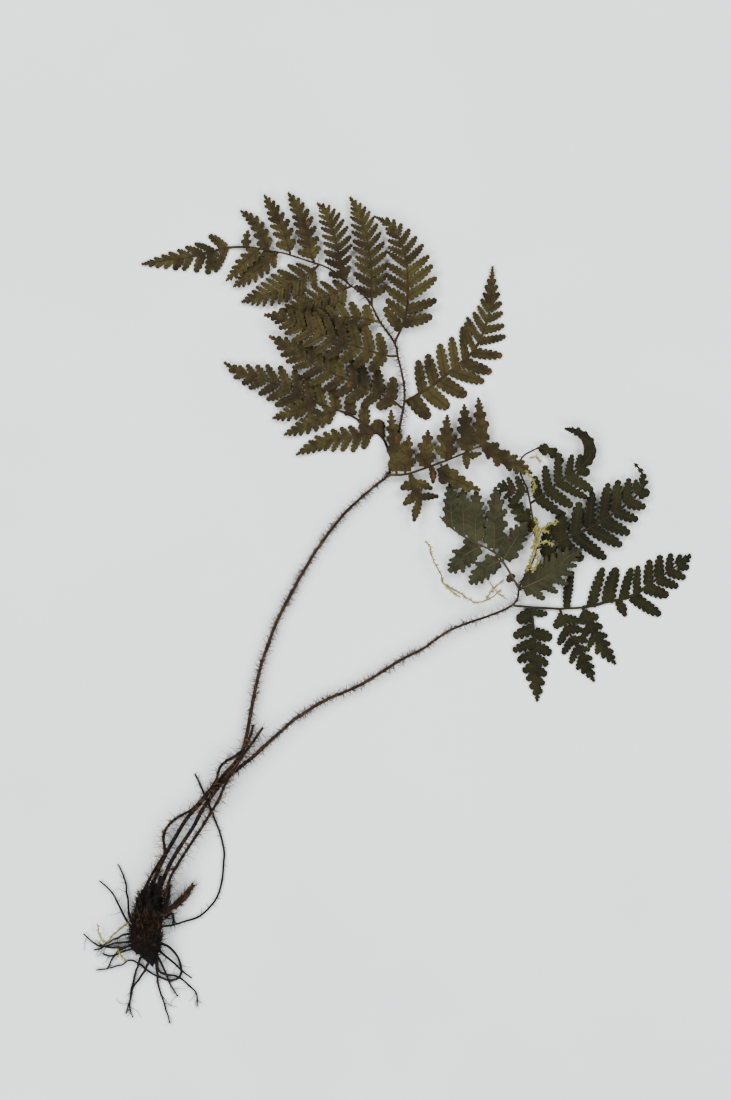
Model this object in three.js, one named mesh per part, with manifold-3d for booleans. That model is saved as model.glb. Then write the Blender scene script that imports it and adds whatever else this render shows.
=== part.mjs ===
// Pressed fern plant: a short rhizome with wiry roots, old stalks, and two fronds lying flat.
// Millimetres, +Z up, the plant lies on the plane z = 0 with its fronds towards +Y.
import * as THREE from "three";
import { mergeVertices } from "three/addons/utils/BufferGeometryUtils.js";
import Module from "manifold-3d";

const wasm = await Module();
wasm.setup();

// Driving dimensions
const BLADE_THICKNESS = 0.6;
const CLEARANCE = 0.3;
const LEVEL_HEIGHTS = [0, 0.9, 1.8, 2.75];
const RACHIS_HEIGHT = 1.65;
const WIRY_STALK_HEIGHT = 0.55;
const ROOT_HEIGHT = 0.6;
const STIPE_RADIUS = 0.98;
const RACHIS_RADIUS = 0.7;
const RACHIS_TIP_RADIUS = 0.5;
const OLD_STALK_RADIUS = 0.65;
const WIRY_STALK_RADIUS = 0.45;
const ROOT_RADII = [0.62, 0.5, 0.38];
const SCALE_LENGTH = 2.2;
const SCALE_RADIUS = 0.32;
const SOCKET_CLEARANCE = 0.4;
const STUB_TAPER = 0.85;
const RHIZOME_THICKNESS = 11;
const RHIZOME_FLAT = 1.5;

// Facets: sides round a stalk or a root, and the length of one facet along it
const STALK_SIDES = 5;
const STALK_STEP = 5;
const STUB_STEP = 4;
const SOCKET_STEP = 5;
const ROOT_SIDES = 3;
const ROOT_STEP = 6;

// The pressed sheet waves gently, and it touches the ground along the lines where the wave is lowest
const WAVE_HEIGHT = 1.2;
const WAVE_LENGTH = 168;
const WAVE_LOW_AT = 104;
const WAVE_FADE_FROM = -60;
const WAVE_FADE_TO = 0;

// Leaflet rule
const RIB_HALF_WIDTH = 0.7;
const LEAFLET_SLANT = [64, 42];
const LEAFLET_FILL = 0.92;
const SPACING_TAPER = 0.3;
const FIRST_LEAFLET_AT = 0.05;
const TIP_PASSES = 5;
const SMALL_LEAFLET = 5.4;
const LARGE_LEAFLET = 12;
const SHORTEST_EDGE = 0.5;
const FLATTEST_CORNER = 0.18;
const SMALLEST_GAP_AREA = 0.8;

// Finishes
const OLIVE_LEAF = { color: 0x45412a, roughness: 0.75, metalness: 0 };
const DARK_LEAF = { color: 0x2b3220, roughness: 0.75, metalness: 0 };
const LEAF_UNDERSIDE = { color: 0x4d5443, roughness: 0.8, metalness: 0 };
const STALK_BROWN = { color: 0x2c1d15, roughness: 0.6, metalness: 0 };
const ROOT_BLACK = { color: 0x1b1613, roughness: 0.7, metalness: 0 };
const BUD_TAN = { color: 0x6b5238, roughness: 0.85, metalness: 0 };

// A fixed sequence of draws between 0 and 1
function seededDraws(seed) {
  let state = seed;
  return () => {
    state = (state * 16807) % 2147483647;
    return state / 2147483647;
  };
}

// A closed three.js geometry as a solid, and back
function toSolid(geometry) {
  geometry.deleteAttribute("normal");
  geometry.deleteAttribute("uv");
  const merged = mergeVertices(geometry, 1e-4);
  return new wasm.Manifold(new wasm.Mesh({
    numProp: 3,
    vertProperties: new Float32Array(merged.attributes.position.array),
    triVerts: new Uint32Array(merged.index.array),
  }));
}

function toGeometry(solid) {
  const mesh = solid.getMesh();
  const geometry = new THREE.BufferGeometry();
  geometry.setAttribute("position", new THREE.BufferAttribute(new Float32Array(mesh.vertProperties), 3));
  geometry.setIndex(new THREE.BufferAttribute(new Uint32Array(mesh.triVerts), 1));
  geometry.computeVertexNormals();
  return geometry;
}

function namedMesh(name, geometry, finish) {
  const mesh = new THREE.Mesh(geometry, new THREE.MeshStandardMaterial(finish));
  mesh.name = name;
  return mesh;
}

// Height of the pressed sheet above the ground at a point
function sheetWave(x, y) {
  const phase = (2 * Math.PI * (x - y - WAVE_LOW_AT)) / WAVE_LENGTH;
  const fade = THREE.MathUtils.smoothstep(y, WAVE_FADE_FROM, WAVE_FADE_TO);
  return (fade * WAVE_HEIGHT * (1 - Math.cos(phase))) / 2;
}

function flatCurve(points) {
  return new THREE.SplineCurve(points.map(([x, y]) => new THREE.Vector2(x, y)));
}

// A value read from a short list spread evenly over t from 0 to 1
function along(values, t) {
  const place = THREE.MathUtils.clamp(t, 0, 1) * (values.length - 1);
  const before = Math.min(Math.floor(place), values.length - 2);
  return THREE.MathUtils.lerp(values[before], values[before + 1], place - before);
}

// A ribbon outline round a curve
function ribbon(curve, halfWidths, steps) {
  const leftSide = [];
  const rightSide = [];
  for (let i = 0; i <= steps; i += 1) {
    const t = i / steps;
    const centre = curve.getPointAt(t);
    const tangent = curve.getTangentAt(t);
    const normal = new THREE.Vector2(-tangent.y, tangent.x).multiplyScalar(along(halfWidths, t));
    leftSide.push(centre.clone().add(normal));
    rightSide.push(centre.clone().sub(normal));
  }
  return new THREE.Shape([...leftSide, ...rightSide.reverse()]);
}

// Half outline of a leaflet: place along its length and share of its half width
const SMALL_OUTLINE = [[0, 1.35], [0.66, 0.88], [1, 0.08]];
const MIDDLE_OUTLINE = [[0, 1.36], [0.76, 0.92], [1, 0.36]];
const LARGE_OUTLINE = [[0, 1.3], [0.5, 1], [0.9, 0.66], [1, 0.2]];

function leafletShape(base, axis, length, halfWidth) {
  const across = new THREE.Vector2(-axis.y, axis.x);
  const middle = length < LARGE_LEAFLET ? MIDDLE_OUTLINE : LARGE_OUTLINE;
  const half = length < SMALL_LEAFLET ? SMALL_OUTLINE : middle;
  const point = ([share, width], side) => base.clone()
    .addScaledVector(axis, share * length)
    .addScaledVector(across, side * width * halfWidth);
  const leftSide = half.map((corner) => point(corner, 1));
  const rightSide = half.map((corner) => point(corner, -1));
  return new THREE.Shape([...leftSide, ...rightSide.reverse()]);
}

// Leaflets on one side of a rib, side 1 for its left and -1 for its right.
// Reach is how far the row stands off the rib, read where the tip of the leaflet comes to lie.
function leafletRow(curve, side, leaflets) {
  const { reach, count, from = FIRST_LEAFLET_AT, slant = LEAFLET_SLANT, taper = SPACING_TAPER } = leaflets;
  const ribLength = curve.getLength();
  const place = (share) => from + (1 - from) * share * (1 + taper * (1 - share));
  const shapes = [];
  for (let i = 0; i < count; i += 1) {
    const t = place((i + 0.5) / count);
    const spacing = (place((i + 1) / count) - place(i / count)) * ribLength;
    const angle = THREE.MathUtils.degToRad(along(slant, t));
    const axis = curve.getTangentAt(t).rotateAround(new THREE.Vector2(), side * angle);
    let length = along(reach, (t - from) / (1 - from)) / Math.sin(angle);
    for (let pass = 0; pass < TIP_PASSES; pass += 1) {
      const tipAt = t + (length * Math.cos(angle)) / ribLength;
      length = (length + along(reach, (tipAt - from) / (1 - from)) / Math.sin(angle)) / 2;
    }
    const halfWidth = (LEAFLET_FILL * spacing * Math.sin(angle)) / 2;
    shapes.push(leafletShape(curve.getPointAt(t), axis, length, halfWidth));
  }
  return shapes;
}

// One blade: its rib and the leaflets on both sides of it
function bladeShapes({ rib, left, right, ribWidths = [RIB_HALF_WIDTH, RIB_HALF_WIDTH * 0.6] }) {
  const curve = flatCurve(rib);
  const steps = Math.max(3, Math.round(curve.getLength() / 8));
  const rows = [
    ...(left ? leafletRow(curve, 1, left) : []),
    ...(right ? leafletRow(curve, -1, right) : []),
  ];
  return [ribbon(curve, ribWidths, steps), ...rows];
}

function flatSolid(shape) {
  return toSolid(new THREE.ExtrudeGeometry(shape, { depth: 1, bevelEnabled: false }));
}

// Boundary loops of the top face of a flat solid
function topLoops(solid) {
  const mesh = solid.getMesh();
  const height = (vertex) => mesh.vertProperties[vertex * 3 + 2];
  const edges = new Map();
  for (let i = 0; i < mesh.triVerts.length; i += 3) {
    const corners = [mesh.triVerts[i], mesh.triVerts[i + 1], mesh.triVerts[i + 2]];
    if (corners.every((vertex) => height(vertex) > 0.5)) {
      corners.forEach((vertex, k) => {
        const next = corners[(k + 1) % 3];
        if (!edges.delete(`${next}_${vertex}`)) {
          edges.set(`${vertex}_${next}`, [vertex, next]);
        }
      });
    }
  }
  const nextOf = new Map([...edges.values()]);
  const loops = [];
  while (nextOf.size > 0) {
    const [first] = nextOf.keys();
    const loop = [];
    let vertex = first;
    while (nextOf.has(vertex)) {
      loop.push(new THREE.Vector2(mesh.vertProperties[vertex * 3], mesh.vertProperties[vertex * 3 + 1]));
      const next = nextOf.get(vertex);
      nextOf.delete(vertex);
      vertex = next;
    }
    loops.push(loop);
  }
  return loops;
}

// Drops corners that are nearly straight or nearly on the next one
function simplified(loop) {
  const kept = [...loop];
  let changed = true;
  while (changed && kept.length > 4) {
    changed = false;
    for (let i = 0; i < kept.length && kept.length > 4; i += 1) {
      const before = kept[(i + kept.length - 1) % kept.length];
      const after = kept[(i + 1) % kept.length];
      const chord = after.clone().sub(before);
      const offset = Math.abs(kept[i].clone().sub(before).cross(chord)) / Math.max(chord.length(), 1e-6);
      if (offset < FLATTEST_CORNER || kept[i].distanceTo(after) < SHORTEST_EDGE) {
        kept.splice(i, 1);
        changed = true;
      }
    }
  }
  return kept;
}

// One thin waved sheet cut to the joined outline of all its blades
function pinnaMesh({ name, level, blades, finish }, corridor) {
  let joined = wasm.Manifold.union(blades.flatMap(bladeShapes).map(flatSolid));
  if (level === 1 || level === 2) {
    joined = joined.subtract(corridor);
  }
  const pieces = joined.decompose().sort((a, b) => b.volume() - a.volume());
  const loops = topLoops(pieces[0])
    .map(simplified)
    .filter((loop) => Math.abs(THREE.ShapeUtils.area(loop)) > SMALLEST_GAP_AREA)
    .sort((a, b) => Math.abs(THREE.ShapeUtils.area(b)) - Math.abs(THREE.ShapeUtils.area(a)));
  const outline = new THREE.Shape(loops[0]);
  outline.holes = loops.slice(1).map((loop) => new THREE.Path(loop));
  const geometry = new THREE.ExtrudeGeometry(outline, { depth: BLADE_THICKNESS, bevelEnabled: false });
  const position = geometry.attributes.position;
  for (let i = 0; i < position.count; i += 1) {
    const lift = LEVEL_HEIGHTS[level] + sheetWave(position.getX(i), position.getY(i));
    position.setZ(i, position.getZ(i) + lift);
  }
  return namedMesh(name, geometry, finish);
}

// A round stalk along a curve whose radius changes evenly from its first end to its last
function stalkGeometry(points, radii, sides, stepLength) {
  const places = points.map(([x, y, z]) => new THREE.Vector3(x, y, z + sheetWave(x, y)));
  const curve = new THREE.CatmullRomCurve3(places);
  const steps = Math.max(3, Math.round(curve.getLength() / stepLength));
  const section = new THREE.Shape();
  for (let i = 0; i < sides; i += 1) {
    const angle = (2 * Math.PI * i) / sides;
    const corner = [radii[0] * Math.cos(angle), radii[0] * Math.sin(angle)];
    if (i === 0) {
      section.moveTo(...corner);
    } else {
      section.lineTo(...corner);
    }
  }
  const geometry = new THREE.ExtrudeGeometry(section, { steps, extrudePath: curve });
  const centres = curve.getSpacedPoints(steps);
  const position = geometry.attributes.position;
  const corner = new THREE.Vector3();
  for (let i = 0; i < position.count; i += 1) {
    corner.fromBufferAttribute(position, i);
    const distances = centres.map((centre) => centre.distanceToSquared(corner));
    const ring = distances.indexOf(Math.min(...distances));
    const factor = along(radii, ring / steps) / radii[0];
    corner.sub(centres[ring]).multiplyScalar(factor).add(centres[ring]);
    position.setXYZ(i, corner.x, corner.y, corner.z);
  }
  return { geometry, curve };
}

// Slim three-sided scales that stand out from a stalk to its sides and upwards
function stalkScales(curve, radii, { count, from, to, skip = [], seed }) {
  const draw = seededDraws(seed);
  const scales = [];
  for (let i = 0; i < count; i += 1) {
    const t = from + ((to - from) * (i + draw() * 0.6)) / count;
    const side = i % 2 === 0 ? 1 : -1;
    const rise = THREE.MathUtils.degToRad(8 + 50 * draw());
    const lean = THREE.MathUtils.degToRad(15 + 30 * draw());
    const length = SCALE_LENGTH * (0.75 + 0.5 * draw());
    const free = skip.every(([start, end]) => t < start || t > end);
    if (free) {
      const tangent = curve.getTangentAt(t);
      const across = new THREE.Vector3(-tangent.y, tangent.x, 0).normalize().multiplyScalar(side);
      const axis = across.multiplyScalar(Math.cos(rise)).add(new THREE.Vector3(0, 0, Math.sin(rise)));
      axis.multiplyScalar(Math.cos(lean)).addScaledVector(tangent, Math.sin(lean)).normalize();
      const reach = along(radii, t) + length;
      const cone = new THREE.ConeGeometry(SCALE_RADIUS, reach, 3);
      cone.translate(0, reach / 2, 0);
      cone.applyQuaternion(new THREE.Quaternion().setFromUnitVectors(new THREE.Vector3(0, 1, 0), axis));
      const seat = curve.getPointAt(t);
      cone.translate(seat.x, seat.y, seat.z);
      scales.push(toSolid(cone));
    }
  }
  return scales;
}

// Heights for a flat route: one for each of its first points, then one for all the others
const raised = (route, heights, height) => route.map(([x, y], i) => [x, y, heights[i] ?? height]);

// Stalk routes, from the rhizome outwards
const UPPER_STALK = raised(
  [
    [-102, -125], [-99.6, -118], [-97, -112], [-94.6, -106.5], [-92.6, -102.4], [-88.7, -95.7], [-86, -91],
    [-83.3, -87.2], [-80.3, -84], [-77.2, -80.3], [-74, -76.6], [-71, -72.8], [-68, -69.5], [-65.3, -66.5],
    [-62.4, -63], [-60.8, -59.6], [-59.6, -55], [-57.7, -45], [-55.8, -35], [-53.4, -25], [-50.1, -15],
    [-46.1, -5], [-41, 5], [-35.5, 15], [-29.3, 25], [-21.8, 35], [-15.8, 41.8], [-5.5, 50.8], [0, 55.4],
    [1.7, 61.7], [3, 68],
    [4.6, 74.3], [6, 81], [6.9, 87], [6.7, 93.2], [5.5, 99.5], [4.2, 104.6], [2.7, 110.8], [-3.4, 119.7],
    [-7.6, 127.7], [-11.8, 132.3], [-16, 135], [-21, 139.4], [-26.5, 142.8], [-32.8, 144.9], [-43.3, 148.3],
    [-49.6, 149.4], [-55.9, 150.8], [-63, 151.2],
  ],
  [
    4.8, 4.2, 3.5, 3, 2.75, 2.45, 2.35, 2.35, 2.35, 2.35, 2.35, 2.35, 2.35, 2.35, 2.3, 2.25, 2.2, 2.1, 2, 1.9,
    1.8, 1.7,
  ],
  RACHIS_HEIGHT,
);
const LOWER_STALK = raised(
  [
    [-97.6, -124.5], [-96, -119], [-94, -114], [-92, -109], [-90, -105.2], [-88, -101.8], [-85, -97.2],
    [-82, -92.8], [-80, -89], [-78, -85.2], [-75.5, -81.5], [-73, -77.9], [-70.5, -74.6], [-68, -71.8],
    [-65, -69.3], [-60, -65.5], [-56, -62.3], [-50, -56.6], [-45, -52.2], [-40, -47.7], [-35, -44.3],
    [-30, -41.1], [-25, -38.4], [-20, -36.3], [-15, -34.2], [-10, -31.8], [0, -25.5], [5, -22.3], [10, -19.8],
    [15, -17.2], [20, -13.6], [25, -10.2], [30, -8], [36, -5.8], [40, -4.5], [45, -2.6], [50, -0.5],
    [54, 2.8], [55, 8], [57.5, 13.4], [60.9, 19.7], [62.2, 24.8], [61.3, 32.3], [60.1, 40.7], [58.4, 49.1],
    [55.8, 55.4], [55.2, 60.4], [57, 63.6], [60.5, 65.6], [64, 67.3],
  ],
  [
    5.4, 5.1, 4.8, 4.5, 4.3, 4.1, 4, 3.9, 3.8, 3.8, 3.8, 3.8, 3.8, 3.8, 3.7, 3.5, 3.3, 3, 2.8, 2.55, 2.35,
    2.15, 2.05, 1.95, 1.85, 1.75,
  ],
  RACHIS_HEIGHT,
);
const OLD_STALK_RIGHT = [
  [-94.3, -122, 7.2], [-92.5, -118, 6.9], [-91, -113, 6.4], [-88, -107.5, 5.6], [-85.5, -103.5, 5],
  [-83, -99.7, 4.5], [-79.5, -94.5, 3.9], [-76.5, -89.8, 3.4], [-74, -85.8, 3.2], [-71.5, -81.5, 3.7],
  [-69.8, -78, 4.3], [-68.3, -74.4, 5], [-66.6, -71.3, 5.6], [-64.6, -68, 5.8], [-62.6, -65, 5.7],
  [-60.5, -61.5, 5.4], [-58, -58.3, 5.1], [-55.3, -54.5, 4.4], [-52.4, -50.3, 3.6],
];
const OLD_STALK_LEFT = [
  [-103.2, -123, 6], [-101.9, -118, 5.4], [-99.4, -113, 4.9], [-96.8, -108.5, 4.75], [-94.6, -105, 4.65],
  [-93.4, -102.5, 4.5], [-93.8, -99.5, 3.9], [-94.2, -96.5, 3.4], [-93, -93, 3.1], [-91, -90.3, 3.3],
  [-88, -88, 3.8], [-85, -86.3, 4.3], [-82.5, -85, 4.4], [-79.4, -82, 4.4], [-76.2, -78.2, 4.4],
  [-73.2, -74.4, 4.4], [-71.5, -71, 4.4], [-70.8, -68, 4.4], [-69.5, -65.8, 4.4], [-67, -64, 4.4],
  [-64, -62.3, 4.4], [-61.4, -60.2, 4.3], [-59.4, -57.3, 4.2], [-57.6, -53.6, 4.1], [-56.5, -49.2, 3.6],
];
const WIRY_STALK = raised(
  [
    [-94.5, -133.8], [-90.5, -133.4], [-85.3, -131.9], [-79.8, -130.2], [-75.6, -126.8], [-71.8, -121.8],
    [-69.7, -114.7], [-69, -107], [-68.8, -102.5], [-70.5, -95], [-72.6, -89.5], [-74.2, -85.5],
    [-76.2, -80.6], [-78.5, -75.6], [-79.8, -72.5], [-81.2, -70],
  ],
  [3.4, 2.4, 1.2],
  WIRY_STALK_HEIGHT,
);
const FROND_BUD = [
  [-94.5, -128.5, 5], [-91.5, -126.4, 4.6], [-88.2, -124.1, 3.6], [-84.8, -120.8, 2.6], [-81.5, -116.3, 2.2],
];

// Roots, from inside the rhizome outwards: route and the heights of its first points
const ROOTS = [
  {
    route: [
      [-105, -134], [-108.4, -129.4], [-110, -116.8], [-112.6, -109.2], [-113.8, -107.9],
    ],
    heights: [5, 2.2, 0.8],
  },
  {
    route: [
      [-105, -136], [-109.2, -132.3], [-114.7, -121.8], [-117.6, -118], [-121.4, -114.7],
    ],
    heights: [4, 2, 0.8],
  },
  {
    route: [
      [-105, -138], [-109.5, -137], [-113.5, -139], [-118.5, -141.2], [-121, -143.2],
    ],
    heights: [4, 2.6, 1.2, 0.8],
  },
  {
    route: [
      [-104, -140], [-109.5, -140.5], [-114.7, -141.1], [-121, -143.2], [-123.5, -144.1],
    ],
    heights: [4, 2, 1.2, 0.7],
  },
  {
    route: [
      [-104, -141], [-112.6, -143], [-119.5, -142.4], [-123.1, -141.3], [-127.8, -137.3],
    ],
    heights: [3, 1.2, 0.7],
  },
  {
    route: [
      [-104, -141], [-109.5, -142.4], [-113.4, -144.9], [-115.9, -148.3], [-118, -151.3],
    ],
    heights: [3, 1.8, 0.9],
  },
  { route: [[-104, -142], [-110.5, -144.4], [-115.5, -146.6], [-120.1, -145.3]], heights: [3, 1.4, 0.7] },
  {
    route: [
      [-98, -140], [-94.5, -141.2], [-91.2, -143.2], [-88, -147.4], [-86.9, -152.5], [-88.2, -155.8],
      [-91.6, -156.7], [-95.8, -155.4], [-100, -153.3], [-104.2, -149.9], [-108.4, -148.4],
      [-112.6, -150.4], [-117.6, -151.6], [-122.6, -152.5],
    ],
    heights: [5, 2.6, 1.6, 0.9, 0.7],
  },
  {
    route: [
      [-101.5, -142], [-105, -150.4], [-107.1, -157.5], [-108.4, -164.2], [-108.2, -168.5],
      [-107.3, -172.2],
    ],
    heights: [3, 1],
  },
  {
    route: [
      [-99, -146], [-103.3, -154.6], [-106.6, -158.8], [-108.2, -164], [-109.7, -171],
    ],
    heights: [2.5, 1, 0.7],
  },
  {
    route: [
      [-98, -145], [-97, -152], [-96.6, -158], [-94.1, -165.9], [-91.6, -174.9],
    ],
    heights: [3, 1.2, 0.7],
  },
  {
    route: [
      [-97.5, -145], [-94.5, -150.5], [-92.4, -156.2], [-90.3, -160.4], [-88.2, -163.4],
    ],
    heights: [3, 1.6, 0.8],
  },
  {
    route: [
      [-97, -146], [-95.8, -153], [-88.2, -155.2], [-83.2, -159.2], [-80.4, -162.3], [-80.2, -167.6],
    ],
    heights: [3, 1.2, 0.7],
  },
  {
    route: [
      [-98, -142], [-93.6, -146.2], [-89.6, -149.6], [-86.5, -152.7], [-82.3, -155.8],
    ],
    heights: [4.5, 2, 1, 0.7],
  },
];

// Rhizome: half widths along its length, from its crown to its point
const RHIZOME_CROWN = [-97.3, -117.5];
const RHIZOME_POINT = [-98.6, -151];
const RHIZOME_PROFILE = [
  [0, 0], [3.2, 0.6], [5.3, 4], [6.6, 9], [7.1, 14], [7, 19], [6.5, 23.5], [5, 27], [2.4, 30.5], [0, 33.4],
];
const RHIZOME_SIDES = 10;
const RHIZOME_BOW = 3.2;
const RHIZOME_BUMP = 0.09;

// Cut bases of older stalks on the crown: start, end and radius
const STALK_STUBS = [
  [[-104.2, -131, 5.5], [-106.6, -125.2, 4.6], [-105.8, -121.5, 4.4], 1.3],
  [[-103.4, -127.5, 7.6], [-105, -122.6, 8], [-105.6, -119.4, 8], 1.1],
  [[-97.5, -124, 8], [-96.3, -117.5, 8.4], [-94.6, -112.2, 8], 1.1],
  [[-93.5, -126.5, 6.8], [-91.9, -121, 7.2], [-91.6, -115.6, 7], 0.8],
  [[-99, -127, 8.6], [-100.4, -121.4, 9], [-99.8, -117, 9], 1.3],
  [[-93.6, -130, 4], [-90.6, -128.6, 3], [-89.8, -132.6, 2], 0.6],
];

function rhizomeBody() {
  const profile = RHIZOME_PROFILE.map(([radius, place]) => new THREE.Vector2(radius, place));
  const geometry = new THREE.LatheGeometry(profile, RHIZOME_SIDES);
  const length = RHIZOME_PROFILE[RHIZOME_PROFILE.length - 1][1];
  const crown = new THREE.Vector2(...RHIZOME_CROWN);
  const direction = new THREE.Vector2(...RHIZOME_POINT).sub(crown).normalize();
  const widest = Math.max(...RHIZOME_PROFILE.map(([radius]) => radius));
  const squash = RHIZOME_THICKNESS / (2 * widest);
  const position = geometry.attributes.position;
  for (let i = 0; i < position.count; i += 1) {
    const place = position.getY(i);
    const turn = Math.atan2(position.getX(i), position.getZ(i));
    const bump = 1 + RHIZOME_BUMP * Math.sin(3 * turn + place * 0.7) * Math.sin(place * 0.9);
    const bow = -RHIZOME_BOW * Math.sin((Math.PI * place) / length);
    const aside = bow - position.getX(i) * bump;
    const height = position.getZ(i) * bump * squash + RHIZOME_THICKNESS / 2;
    position.setXYZ(
      i,
      crown.x + direction.x * place - direction.y * aside,
      crown.y + direction.y * place + direction.x * aside,
      Math.max(0, height - RHIZOME_FLAT),
    );
  }
  return toSolid(geometry);
}

// Rhizome, roots and stalk stubs as one body, with a plain socket for each stalk
function rhizomeMesh() {
  const roots = ROOTS.map(({ route, heights }) => (
    toSolid(stalkGeometry(raised(route, heights, ROOT_HEIGHT), ROOT_RADII, ROOT_SIDES, ROOT_STEP).geometry)
  ));
  const stubs = STALK_STUBS.map(([start, middle, end, radius]) => {
    const radii = [radius, radius * STUB_TAPER];
    return toSolid(stalkGeometry([start, middle, end], radii, STALK_SIDES, STUB_STEP).geometry);
  });
  const sockets = [
    [UPPER_STALK.slice(0, 4), STIPE_RADIUS],
    [LOWER_STALK.slice(0, 4), STIPE_RADIUS],
    [OLD_STALK_RIGHT.slice(0, 4), OLD_STALK_RADIUS],
    [OLD_STALK_LEFT.slice(0, 4), OLD_STALK_RADIUS],
    [WIRY_STALK.slice(0, 4), WIRY_STALK_RADIUS],
    [FROND_BUD.slice(0, 3), OLD_STALK_RADIUS],
  ].map(([route, radius]) => {
    const bore = radius + SOCKET_CLEARANCE;
    return toSolid(stalkGeometry(route, [bore, bore], STALK_SIDES, SOCKET_STEP).geometry);
  });
  let body = wasm.Manifold.union([rhizomeBody(), ...roots, ...stubs]);
  sockets.forEach((socket) => {
    body = body.subtract(socket);
  });
  const pieces = body.decompose().sort((a, b) => b.volume() - a.volume());
  return namedMesh("rhizome_and_roots", toGeometry(pieces[0]), ROOT_BLACK);
}

function stalkMesh(name, route, radii, scales, finish) {
  const { geometry, curve } = stalkGeometry(route, radii, STALK_SIDES, STALK_STEP);
  const body = [toSolid(geometry), ...(scales ? stalkScales(curve, radii, scales) : [])];
  return namedMesh(name, toGeometry(wasm.Manifold.union(body)), finish);
}

// Leaflet rows are written as reach along the rib and count
const row = (count, reach, more = {}) => ({ count, reach, ...more });

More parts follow.
